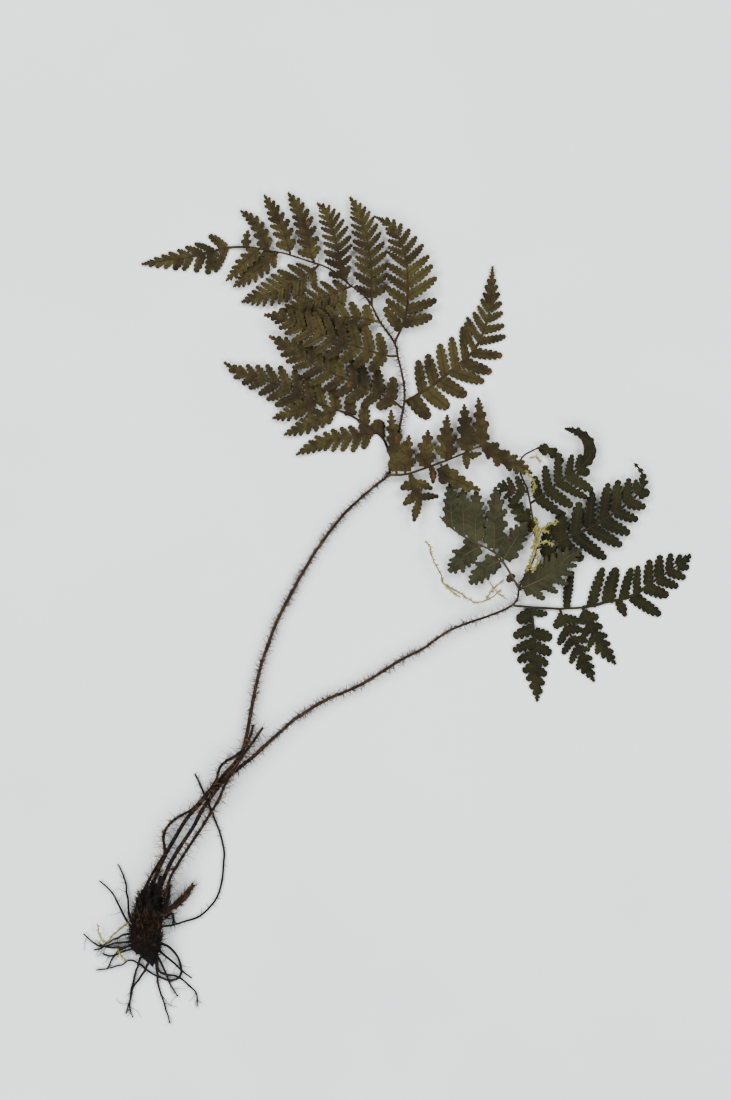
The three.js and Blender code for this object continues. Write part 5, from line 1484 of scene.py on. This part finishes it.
LOWER_PINNAE = [
    Pinna("lower_left_pinna_1", 1, [
        Blade([[54.8, 8], [51.7, 13.4], [48.3, 18.9], [44.9, 22.7], [40.7, 25.2], [34.4, 28.1],
            [29.4, 31.1], [25.2, 34.4], [21.6, 38.2]]),
        even([[27.2, 32.6], [26.6, 38], [26.2, 45], [26, 52.6]],
            6, [3.6, 4, 3.4, 2.6, 1], [3.8, 4.2, 3.8, 3, 1.2]),
        even([[32, 29.2], [31.6, 36], [31.4, 43], [31.4, 50.2]],
            6, [3.4, 3.8, 3.4, 2.8, 1], [3.4, 3.8, 3.4, 2.8, 1]),
        even([[37, 26.6], [36.6, 33], [36.8, 41], [37, 48.6]],
            6, [3.8, 4.2, 4, 3.4, 2], [4, 4.6, 4.4, 3.8, 2]),
        even([[44.4, 23.2], [44.6, 32], [45, 41], [45, 50.5]],
            6, [4, 4.4, 4.2, 3.4, 1.4], [4.8, 5.8, 5.6, 4.2, 1.4]),
        even([[48, 19.4], [51.4, 25], [54.6, 30], [58.4, 35.6]],
            6, [4.8, 5.6, 5, 1.6], [4.6, 4.9, 4.6, 1.4]),
        even([[39.4, 25.6], [34, 23], [29.6, 18.6], [25.4, 14.8]],
            5, [4.2, 5.4, 5.2, 2.4], [4.4, 5.8, 5, 2.2]),
        even([[47.6, 19.6], [42.4, 17.4], [38.2, 13.6], [34.2, 9.8]],
            5, [3.8, 4.8, 4.6, 2.2], [3.8, 4.6, 4.4, 2.2]),
        lone([[51.6, 14], [51.6, 12.6], [50, 10.6]], [1.2, 2, 0.7]),
    ], Leaf.UNDERSIDE, wing=(0.68, 0.6)),
    Pinna("lower_right_pinna_2", 2, [
        even([[55, 7.4], [59.6, 9.4], [65.9, 12.6], [71, 16.8], [75.6, 21.2], [81, 24.4]],
            8, [6, 8, 7.6, 5, 1.8], [7.4, 8.6, 8.4, 6.4, 2]),
    ], Leaf.UNDERSIDE, wing=(0.62, 0.5)),
    Pinna("lower_left_pinna_2", 0, [
        even([[61.6, 31], [58.6, 36], [54.6, 41], [50.6, 45.6]], 5, [4, 4.6, 4, 1.6], [3.6, 4, 3.6, 1.6]),
    ], Leaf.DARK),
    Pinna("lower_left_pinna_3", 2, [
        even([[58.8, 48.2], [54.6, 48.8], [50.4, 49.6], [45.8, 51.4]],
            4, [7.6, 8.4, 5, 2], [5.6, 6.4, 5.6, 2]),
    ], Leaf.DARK),
    Pinna("lower_right_pinna_4", 2, [
        Blade([[59.6, 43.4], [65.9, 47.9], [72.2, 52.9], [78.5, 57.2], [82, 59.8]],
            left=Row(5, [7, 8.8, 9.6, 9.6], taper=0),
            right=Row(5, [9, 11.5, 12, 12.5, 10.5], taper=0, slant=[70, 66])),
        Blade([[81, 59], [84.2, 62.6], [84.4, 67.6], [82.4, 71.4], [79, 73.6], [73.9, 74.9]],
            left=Row(7, [1.8, 2.8, 2.6, 2.2, 1.8, 1]), right=Row(7, [1.6, 2.6, 2.8, 2.2, 1.8, 1]),
            rib_widths=[1.4, 2.7, 2.6, 2, 1.2, 0.5]),
    ], Leaf.DARK),
    Pinna("lower_right_pinna_3", 1, [
        even([[62.2, 24.8], [67.2, 25.8], [72.2, 27.9], [78.5, 30.4], [84.8, 33.4], [91.1, 37],
            [97.4, 41.2], [102.5, 45], [105.6, 48.6], [107.2, 53.6], [106, 57.2], [103.2, 60.4]],
            10, [7, 9.5, 11.5, 12.5, 12.5, 12.8, 12.4, 8.6, 1.4, 1],
            [8, 9, 11, 13.5, 15.5, 12.5, 8.5, 5.6, 1.4, 1], start=0, taper=0.1),
    ], Leaf.DARK),
    Pinna("lower_right_pinna_1", 0, [
        Blade([[52.6, 0.6], [59.6, 0], [65.9, -0.4], [72.2, -0.7], [80.6, -0.3], [86.9, 0.5], [92, 2],
            [97.4, 3], [103.7, 5.3], [109.2, 9.2], [114.2, 12.6], [119.3, 16], [123.2, 18.7],
            [127.2, 21.6]],
            left=Row(9, [16, 17, 15.5, 13, 12, 9.5, 8.3, 6, 2.4], start=0.36, slant=[86, 60, 45]),
            right=Row(6, [10, 13, 13, 8, 8, 5.6, 1.6], start=0.58, slant=[75, 64, 58, 46])),
        lone([[96.4, 2.8], [98.2, -0.4], [99.8, -4]], [1.4, 2.2, 0.6]),
        lone([[75, -0.4], [75.6, 7], [77.6, 15]], [1.4, 2.1, 0.8]),
        Blade([[60.2, 0], [60.8, -5.5], [61.7, -13.9], [61.9, -24.4], [62.6, -39.8]],
            left=Row(7, [6.6, 7.4, 6.6, 5.2, 3.4, 1.4], start=0.2, slant=[68, 58]),
            right=Row(9, [7, 7, 9.4, 9.6, 8, 5, 3, 1], start=0, slant=[80, 58], taper=0.45)),
        lone([[60.6, -2.2], [64, -2.8], [67, -2.8]], [1, 1.7, 0.8]),
        even([[72, -0.6], [74, -6], [76.5, -11.5], [80, -18.5], [83.5, -25], [86.6, -31.4]],
            8, [6, 6.6, 6, 5.4, 4.4, 3, 1.2], [3, 5.6, 7, 6.4, 4, 1.2]),
        even([[81.6, -0.2], [83.5, -4.5], [85.7, -9.5], [89, -15], [92, -19.5], [95.6, -24.2]],
            7, [3.6, 4.8, 4.8, 4.2, 3.2, 1.2], [2.4, 3.8, 5.4, 5, 3, 1]),
    ], Leaf.DARK),
    Pinna("lower_frond_tip", 0, [
        even([[62.6, 66.8], [67.5, 65.8], [70.8, 63.6], [73.8, 61]],
            4, [1.8, 2.4, 2.2, 1], [2.2, 2.8, 2.4, 1]),
    ], Leaf.DARK),
]

# Dry, torn or folded places on the leaflets: x, y and radius (mm)
DEAD_SPOTS = [
    (-29, 168.5, 3.2), (-33.5, 161, 2.4), (-52, 122.5, 3.5), (-50, 113.7, 3.2), (-69, 102.8, 3),
    (-43, 101, 2.6), (17.4, 78.8, 2.2), (42.8, 98.2, 1.8), (32.4, 88.8, 2.2), (47.2, 105, 2.8),
    (36, 125, 3), (2, 81.5, 3), (3, 70, 2.6), (19, 55, 3), (46, 58.5, 3), (57, 60.5, 3.2), (52, 49, 3.4),
    (47, 54, 2.4), (77, 64.5, 2.4), (82, 67.5, 2.6), (83, 64, 1.6), (88, 34.5, 2.2), (94, 43.8, 2),
    (102, 44.5, 2.4), (102, 52, 1.8), (96, 52.5, 1.4), (112.5, 19, 2.6), (110, 11, 2.4), (117, 6, 2),
    (115.5, -2.5, 2.4), (94, 7, 2), (102.5, 5.5, 1.8), (79, 1.5, 1.8), (109, 15, 1.8), (54, -11.5, 2),
    (52.5, -16.8, 2), (54.5, -28.5, 2.2), (73.5, -21, 2.2), (83, -3, 2), (90, -8.3, 1.8), (93, -11, 1.8),
    (95, -23, 2.4), (85.5, -20, 2), (32, 38, 2), (41.5, 41, 2.6), (51, 28.5, 2.2), (54.5, 22, 2.2),
    (53.5, 18, 1.6), (-103, 144, 2.5), (-16, 93.5, 2.4),
]

# Strands of moss (mm)
MOSS_ROUTES = [
    [[15.5, 27.7, 3.2], [17.6, 24.8, 3], [18.9, 19.7, 2.8], [21.8, 14.7, 2.6], [23.1, 10.1, 2.4],
     [28.1, 7.1, 3], [34.4, 2.9, 3.4], [38.6, 2.1, 3.6], [43.7, 4.2, 3.6], [47, 7.1, 3.2]],
    [[24.5, 9.8, 2.2], [26.6, 6.6, 2.8], [29.6, 4.4, 3]],
    [[41, 3.4, 3.4], [44.6, 8.2, 3.2], [48.6, 11.6, 3.2]],
    [[42.6, 10.4, 3.4], [45.6, 6.4, 3.4], [49, 3.6, 3.4]],
    [[57.6, 15.2, 3.6], [59.6, 18.8, 4], [60.8, 23.4, 4.4], [62, 28.6, 4.4], [61.4, 33, 4.4]],
    [[61, 14.6, 4], [59.4, 19.2, 4.2], [61.6, 24.6, 4.6], [63.4, 30.4, 4.6], [66.4, 34.2, 4.2],
     [71.4, 35.8, 4]],
    [[59.4, 24.6, 4.4], [62.4, 26.2, 4.6], [66.2, 27.4, 4.4], [69.6, 26.4, 4]],
    [[60.4, 31.8, 4.4], [63.6, 32.8, 4.6], [67.2, 31.4, 4.4]],
    [[57.6, 57.4, 3.6], [59.8, 54.6, 4], [61.6, 51.4, 4.2], [60.8, 48, 4.2]],
    [[59.4, 62.4, 2.6], [61.8, 62.8, 3], [64.2, 61, 3.2]],
    [[61.8, 16.6, 4.4], [62.8, 21.2, 4.6], [60.6, 26.6, 4.8], [62.8, 31.8, 4.8], [61.6, 37, 4.4]],
    [[-122.2, -133.1, 2.2], [-120.5, -139, 2.6], [-117.6, -140.3, 2.6], [-114.7, -136.9, 2.6],
     [-109.2, -132.3, 4]],
    [[-113.4, -143.4, 2], [-112, -146, 2], [-110.4, -149, 1.8]],
]


def on_sheet(route: Points) -> Route:
    """A route laid on the pressed sheet's wave."""
    return Route([[x, y, z + sheet_wave(x, y)] for x, y, z in route])


@dataclass
class Stalk:
    """A stalk with its scales: one piece that replaces one solid.

    Attributes:
        node: the solid it stands for.
        route: points of its middle line, in mm.
        radii: spread evenly from its first end.
        slot: a label handed on with the piece.
        fuzz: how thickly scales grow, spread evenly from its first end.
        groove: depth of the channel along its upper side.
        sides: corners of its section.
        step: length between its rings.
        swelling: how much its radius varies.
        end_shares: how much narrower its two ends are.
    """

    node: str
    route: Points
    radii: list[float]
    slot: str
    fuzz: list[float]
    groove: float = 0.22
    sides: int = 12
    step: float = 1.3
    swelling: float = 0.07
    end_shares: Point = (0.8, 0.75)

    def build(self, finish: Material) -> Object:
        """Builds the bare stalk."""
        route = on_sheet(self.route)
        shares = route.shares(self.step, 6)
        places = [route.at(share) for share in shares]
        radii = []
        for share, place in zip(shares, places):
            swell = 1 + self.swelling * noise.noise(place * 0.22)
            radii.append(along(self.radii, share) * swell)
        radii[0] *= self.end_shares[0]
        radii[-1] *= self.end_shares[1]
        draft = MeshDraft()
        fuzz = [along(self.fuzz, share) for share in shares]
        draft.add_tube(places, radii, self.sides, groove=self.groove, fuzz=fuzz)
        return draft.to_object(self.node + "_stalk", [finish])


@dataclass
class Rhizome:
    """The short thick stem with its cut stalk bases.

    Attributes:
        crown, point: its two ends on the ground.
        profile: distance from the crown and radius there.
        shoulder: how far its lower side swells, how far down, and over what length.
        warm_middle, warm_radius: where its fibres are warmer in colour.
        thickness: before its underside is cut flat.
        flat: depth of that cut.
        bow: how far it bends aside.
        ridges, lumps, dents: relief, as shares of its radius.
        stub_steps: rings of a cut base, less one.
    """

    crown: Point = (-97.3, -117.5)
    point: Point = (-98.6, -151.0)
    profile: tuple[Point, ...] = (
        (0, 0), (0.6, 2.6), (4, 4), (9, 5.2), (14, 6), (19, 6.2), (23.5, 5.7), (27, 4), (30.5, 2), (33.4, 0),
    )
    shoulder: tuple[float, float, float] = (2.4, 25.5, 3.4)
    warm_middle: Point = (-101.5, -134.0)
    warm_radius: float = 4.4
    thickness: float = 11.0
    flat: float = 1.5
    bow: float = 3.2
    ridges: float = 0.09
    lumps: float = 0.16
    dents: float = 0.06
    sides: int = 48
    rings: int = 60
    stub_steps: int = 8

    def build(self, finish: Material, cut_finish: Material) -> Object:
        """Builds the lumpy body and the stubs."""
        draft = MeshDraft()
        self._add_body(draft)
        for route, radius in STALK_STUBS:
            middle = Route(route)
            shares = [i / self.stub_steps for i in range(self.stub_steps + 1)]
            radii = [radius * (1.05 - 0.2 * share) for share in shares]
            spots = [middle.at(share) for share in shares]
            draft.add_tube(spots, radii, 12, finish=1, groove=0.2, fuzz=[0.7] * len(spots))
        return draft.to_object("rhizome_body", [finish, cut_finish])

    def _add_body(self, draft: MeshDraft) -> None:
        """Adds the body as rings of points, none lower than the ground."""
        crown, point = Vector(self.crown), Vector(self.point)
        direction = (point - crown).normalized()
        places = [reach for reach, _ in self.profile]
        widths = [radius for _, radius in self.profile]
        length = places[-1]
        squash = self.thickness / (2 * max(widths))
        swell, swell_at, swell_reach = self.shoulder
        points, grow = [], []
        for i in range(self.rings + 1):
            reach = length * (0.5 - 0.5 * math.cos(math.pi * i / self.rings))
            radius = float(np.interp(reach, places, widths))
            bow = -self.bow * math.sin(math.pi * reach / length)
            for k in range(self.sides):
                turn = 2 * math.pi * k / self.sides
                spot = Vector((math.cos(turn) * 2.2, math.sin(turn) * 2.2, reach * 0.32))
                bump = 1 + self.ridges * math.sin(3 * turn + reach * 0.7) * math.sin(reach * 0.9)
                bump += self.lumps * noise.noise(spot) + self.dents * noise.noise(spot * 3.1) - 0.05
                lower = swell * max(0.0, math.sin(turn))
                lower *= math.exp(-(((reach - swell_at) / swell_reach) ** 2))
                aside = bow - math.sin(turn) * (radius * bump + lower)
                height = math.cos(turn) * radius * bump * squash + self.thickness / 2 - self.flat
                points.append((
                    crown.x + direction.x * reach - direction.y * aside,
                    crown.y + direction.y * reach + direction.x * aside, max(0.02, height),
                ))
                grow.append((-direction.x, -direction.y, 0.25))
        laid = np.array(points)
        away = np.hypot(laid[:, 0] - self.warm_middle[0], laid[:, 1] - self.warm_middle[1])
        warm = np.exp(-((away / self.warm_radius) ** 2))
        draft.add_loft(laid, self.rings + 1, self.sides, np.array(grow), warm)


@dataclass
class Roots:
    """The wiry roots and their finer branches.

    Attributes:
        radii: spread evenly from the foot of each root.
        step: length between its rings.
        branches: fine side roots on each root.
        branch_length: shortest and longest.
        side_limit, foot_limit: how far out they may reach to the sides and to the foot.
    """

    radii: tuple[float, ...] = (0.6, 0.5, 0.42, 0.3)
    step: float = 0.9
    branches: int = 3
    branch_length: Point = (2.5, 7.0)
    branch_radius: float = 0.16
    branch_step: float = 0.8
    side_limit: float = 127.4
    foot_limit: float = -174.3

    def build(self, finish: Material) -> Object:
        """Builds all roots as one piece."""
        draws = random.Random(41)
        draft = MeshDraft()
        for route in ROOTS:
            middle = on_sheet(route)
            shares = middle.shares(self.step, 8)
            places, radii = [], []
            for share in shares:
                place = middle.at(share)
                sway = 0.35 * noise.noise(place * 0.35) * smoothstep(share, 0.1, 0.3)
                places.append(place + Vector((sway, -sway, 0)))
                radii.append(along(list(self.radii), share) * (1 + 0.16 * noise.noise(place * 0.9)))
            draft.add_tube(places, radii, 8, fuzz=[0.3 + 0.7 * share for share in shares])
            for _ in range(self.branches):
                self._add_branch(draft, middle, draws)
        return draft.to_object("root_mat", [finish])

    def _add_branch(self, draft: MeshDraft, middle: Route, draws: random.Random) -> None:
        """Adds one fine side root."""
        share = draws.uniform(0.3, 0.98)
        heading = turned(middle.heading(share), draws.choice((1, -1)) * draws.uniform(25, 70))
        places = [middle.at(share)]
        for _ in range(round(draws.uniform(*self.branch_length) / self.branch_step)):
            heading = turned(heading, draws.uniform(-22, 22))
            following = places[-1] + heading * self.branch_step
            height = max(0.25, following.z + draws.uniform(-0.16, 0.08))
            x = min(self.side_limit, max(-self.side_limit, following.x))
            places.append(Vector((x, max(self.foot_limit, following.y), height)))
        radii = [self.branch_radius * (1 - 0.6 * i / (len(places) - 1)) for i in range(len(places))]
        draft.add_tube(places, radii, 5, fuzz=[0.8] * len(places))


@dataclass
class Moss:
    """Strands of moss caught in the plant."""

    radius: float = 0.29
    step: float = 0.8
    sway: float = 0.5

    def build(self, finish: Material) -> Object:
        """Builds the bare strands."""
        draft = MeshDraft()
        for route in MOSS_ROUTES:
            middle = on_sheet(route)
            places = []
            for share in middle.shares(self.step, 5):
                place = middle.at(share)
                sway = self.sway * noise.noise(place * 0.4)
                places.append(place + Vector((sway, sway * 0.6, 0)))
            draft.add_tube(places, [self.radius] * len(places), 5, fuzz=[1.0] * len(places))
        return draft.to_object("caught_moss", [finish])


@dataclass
class Studio:
    """Camera, floor and soft light."""

    distance: float = CAMERA_HEIGHT
    sensor: float = 24.0
    floor_size: float = 9.0
    floor_drop: float = 0.0002
    light_reach: float = 1.5
    light_height: float = 1.25
    light_size: float = 1.1

    def set_up(self) -> None:
        """Places the camera, the floor and the lights."""
        optics = bpy.data.cameras.new("overhead")
        optics.sensor_fit = "VERTICAL"
        optics.sensor_height = self.sensor
        optics.lens = self.sensor * self.distance / (VIEW_HEIGHT * MM)
        camera = linked("overhead", optics)
        camera.location = (VIEW_MIDDLE[0] * MM, VIEW_MIDDLE[1] * MM, self.distance)
        bpy.context.scene.camera = camera
        self._add_floor()
        for name, azimuth, power in (("north_west", 135, 48.0), ("south_west", 225, 37.0),
                                     ("south_east", 315, 34.0), ("north_east", 45, 39.0)):
            self._add_light(name, azimuth, power)

    def _add_floor(self) -> None:
        """Adds the plain pale floor."""
        half = self.floor_size / 2
        corners = [(x * half, y * half, 0) for x, y in ((-1, -1), (1, -1), (1, 1), (-1, 1))]
        mesh = bpy.data.meshes.new("pale_floor")
        mesh.from_pydata(corners, [], [(0, 1, 2, 3)])
        finish, desk, shader = start_finish("pale_floor", 0.9, 0.2)
        shade = desk.band(desk.clouds(desk.object_place(), 8, 3), 0.3, 0.7)
        desk.join(desk.blend(shade, srgb(226, 230, 231), srgb(233, 237, 238)), shader.inputs["Base Color"])
        mesh.materials.append(finish)
        floor = linked("pale_floor", mesh)
        floor.location.z = -self.floor_drop

    def _add_light(self, name: str, azimuth: float, power: float) -> None:
        """Adds one wide soft light that leans over the plant from the side.

        Args:
            name: the light's name.
            azimuth: where it stands, in degrees from +X towards +Y.
            power: in watts.
        """
        lamp = bpy.data.lights.new(name, "AREA")
        lamp.size = self.light_size
        lamp.energy = power
        made = linked(name, lamp)
        turn = math.radians(azimuth)
        made.location = (
            self.light_reach * math.cos(turn), self.light_reach * math.sin(turn), self.light_height,
        )
        made.rotation_euler = (-made.location).to_track_quat("-Z", "Y").to_euler()


LEAF_FINISHES = (
    LeafFinish(
        "olive_leaf", plain=srgb(58, 51, 24), shade=srgb(32, 26, 12), fleck=srgb(74, 69, 36),
        vein=srgb(24, 19, 11), dead=srgb(78, 50, 27), dead_dark=srgb(38, 22, 13),
        fleck_share=0.08, vein_share=0.4, side_vein_share=0.2,
    ),
    LeafFinish(
        "dark_leaf", plain=srgb(31, 31, 10), shade=srgb(17, 17, 5), fleck=srgb(52, 48, 20),
        vein=srgb(40, 38, 16), dead=srgb(48, 30, 19), dead_dark=srgb(25, 15, 10),
        fleck_share=0.06, vein_share=0.3, side_vein_share=0.14,
    ),
    LeafFinish(
        "leaf_underside", plain=srgb(45, 46, 27), shade=srgb(26, 27, 15), fleck=srgb(66, 61, 40),
        vein=srgb(56, 48, 34), dead=srgb(56, 39, 28), dead_dark=srgb(32, 22, 16),
        fleck_share=0.14, vein_share=0.5, side_vein_share=0.22,
    ),
)

# In the order plain, shade and pale
STALK_FINISHES = (
    StalkFinish("stalk_brown", srgb(12, 8, 6), srgb(6, 5, 4), srgb(32, 22, 15), young=srgb(42, 31, 18)),
    StalkFinish("old_stalk_brown", srgb(10, 7, 6), srgb(6, 5, 4), srgb(25, 18, 12)),
    StalkFinish("costa_olive", srgb(44, 29, 16), srgb(30, 20, 12), srgb(70, 52, 30)),
    StalkFinish("costa_dark", srgb(42, 36, 20), srgb(32, 27, 16), srgb(66, 58, 36)),
    StalkFinish("costa_underside", srgb(66, 58, 42), srgb(48, 42, 30), srgb(92, 82, 62)),
    StalkFinish("root_black", srgb(20, 16, 13), srgb(10, 8, 7), srgb(48, 38, 30), roughness=0.6),
    StalkFinish("rhizome_bark", srgb(22, 15, 11), srgb(9, 7, 6), srgb(58, 32, 20), roughness=0.75),
    StalkFinish("bud_brown", srgb(58, 38, 24), srgb(34, 22, 14), srgb(92, 66, 42), roughness=0.7),
    StalkFinish("moss_stem", srgb(126, 116, 54), srgb(98, 88, 40), srgb(160, 150, 80), roughness=0.6),
)

# In the order dark, middle and pale
SCALE_FINISHES = (
    ScaleFinish("tan_scales", srgb(15, 9, 6), srgb(36, 23, 13), srgb(104, 72, 43)),
    ScaleFinish("curly_scales", srgb(14, 9, 7), srgb(38, 25, 16), srgb(116, 82, 51)),
    ScaleFinish("crown_scales", srgb(14, 9, 6), srgb(36, 22, 13), srgb(96, 68, 42)),
    ScaleFinish("dark_scales", srgb(4, 3, 3), srgb(8, 6, 5), srgb(38, 27, 19)),
    ScaleFinish("warm_scales", srgb(10, 7, 6), srgb(28, 18, 12), srgb(96, 66, 42)),
    ScaleFinish("root_hairs", srgb(16, 13, 11), srgb(36, 27, 21), srgb(74, 58, 42)),
    ScaleFinish("moss_leaves", srgb(104, 100, 44), srgb(140, 134, 68), srgb(182, 176, 114)),
)

COSTA_FINISH = {Leaf.OLIVE: "costa_olive", Leaf.DARK: "costa_dark", Leaf.UNDERSIDE: "costa_underside"}

STALK_SCALES = Growth(
    "stalk_scales", width=0.46, length=2.0, bend=1.1, twist=150, density=2.6, lean=0.2, scatter=0.5,
    size_range=(0.4, 1.15), seed=5,
)
OLD_SCALES = Growth(
    "old_scales", width=0.34, length=2.7, bend=1.3, twist=150, density=3.4, lean=0.3, scatter=0.7,
    size_range=(0.4, 1.25), seed=6,
)
BUD_SCALES = Growth(
    "bud_scales", width=0.42, length=3.0, bend=0.4, twist=120, density=3.0, lean=0.7, scatter=0.45,
    size_range=(0.6, 1.2), seed=9,
)
RHIZOME_FIBRES = Growth(
    "rhizome_fibres", width=0.3, length=3.2, bend=0.6, twist=120, density=3.6, lean=0.62, scatter=0.6,
    size_range=(0.4, 1.2), seed=21, segments=3,
)
WARM_FIBRES = Growth(
    "warm_fibres", width=0.3, length=3.2, bend=0.5, twist=120, density=1.5, lean=0.7, scatter=0.5,
    size_range=(0.4, 1.2), seed=22, cover="dead", segments=3,
)
ROOT_HAIRS = Growth(
    "root_hairs", width=0.14, length=1.6, bend=0.4, twist=90, density=0.5, lean=0.3, scatter=0.6,
    size_range=(0.4, 1.2), seed=33, segments=3,
)
MOSS_LEAVES = Growth(
    "moss_leaves", width=0.5, length=1.3, bend=0.35, twist=20, density=3.4, lean=0.5, scatter=0.6,
    size_range=(0.5, 1.15), seed=55, segments=3,
)

LIVING_RADII = [0.9, 0.72, 0.52, 0.37]
OLD_RADII = [0.65, 0.55]
OLD_FUZZ = [0.7, 0.6, 0.6, 0.5]

# Each stalk with its bark, what grows on it, and the finish of that
STALKS = (
    (Stalk("upper_stipe_and_rachis", UPPER_STALK, LIVING_RADII, "stalk_brown",
           [0.15, 0.3, 0.8, 1, 1, 0.9, 0.6, 0.25, 0.1]), "stalk_brown", STALK_SCALES, "tan_scales"),
    (Stalk("lower_stipe_and_rachis", LOWER_STALK, LIVING_RADII, "stalk_brown",
           [0.15, 0.3, 0.8, 1.1, 1.1, 1.1, 0.6, 0.25, 0.1]), "stalk_brown", STALK_SCALES, "tan_scales"),
    (Stalk("old_stalk_right", OLD_STALK_RIGHT, OLD_RADII, "stalk_brown", OLD_FUZZ),
     "old_stalk_brown", OLD_SCALES, "curly_scales"),
    (Stalk("old_stalk_left", OLD_STALK_LEFT, OLD_RADII, "stalk_brown", OLD_FUZZ),
     "old_stalk_brown", OLD_SCALES, "curly_scales"),
    (Stalk("wiry_stalk", WIRY_STALK, [0.45, 0.45], "root_black", [0.1, 0.05], groove=0.05),
     "root_black", STALK_SCALES, "root_hairs"),
    (Stalk("frond_bud", FROND_BUD, [0.65, 1.1, 1.0, 0.4], "bud_tan", [1, 1]),
     "bud_brown", BUD_SCALES, "crown_scales"),
)


class FernPlant:
    """The whole plant, piece by piece."""

    def __init__(self, groups: SharedGroups) -> None:
        """Builds every material."""
        self.finishes: dict[str, Material] = {}
        for finish in (*LEAF_FINISHES, *STALK_FINISHES):
            self.finishes[finish.name] = finish.make(groups)
        for scales in SCALE_FINISHES:
            self.finishes[scales.name] = scales.make()

    def add(self, piece: Object, slot: str, *nodes: str) -> None:
        """Hands a finished piece to the frame.

        Args:
            piece: the object.
            slot: not used.
            nodes: the solids it stands for.
        """
        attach(piece, BODY)
        if nodes:
            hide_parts(*nodes)
        log.info("%s: %d faces", piece.name, len(piece.data.polygons))

    def build_leaves(self) -> None:
        """Builds every pinna."""
        for pinna in [*UPPER_PINNAE, *LOWER_PINNAE]:
            finish = self.finishes[pinna.leaf.value]
            piece = LeafSheet(pinna, DEAD_SPOTS).build(finish, self.finishes[COSTA_FINISH[pinna.leaf]])
            self.add(piece, pinna.leaf.value, pinna.name)

    def build_stalks(self) -> None:
        """Builds the stalks and what grows on them."""
        for stalk, bark, growth, papery in STALKS:
            piece = stalk.build(self.finishes[bark])
            growth.grow_on(piece, self.finishes[papery])
            self.add(piece, stalk.slot, stalk.node)

    def build_base(self) -> None:
        """Builds the rhizome and the roots, which stand for one solid."""
        body = Rhizome().build(self.finishes["rhizome_bark"], self.finishes["old_stalk_brown"])
        RHIZOME_FIBRES.grow_on(body, self.finishes["dark_scales"])
        WARM_FIBRES.grow_on(body, self.finishes["warm_scales"])
        roots = Roots().build(self.finishes["root_black"])
        ROOT_HAIRS.grow_on(roots, self.finishes["root_hairs"])
        self.add(body, "root_black", "rhizome_and_roots")
        self.add(roots, "root_black", "rhizome_and_roots")

    def build_moss(self) -> None:
        """Builds the moss strands."""
        strands = Moss().build(self.finishes["moss_stem"])
        MOSS_LEAVES.grow_on(strands, self.finishes["moss_leaves"])
        self.add(strands, "leaf_underside")


def main() -> None:
    """Builds the scene in order."""
    Studio().set_up()
    plant = FernPlant(SharedGroups.make())
    plant.build_stalks()
    plant.build_base()
    plant.build_leaves()
    plant.build_moss()


if __name__ == "__main__":
    logging.basicConfig(level=logging.INFO, format="%(name)s: %(message)s")
    main()
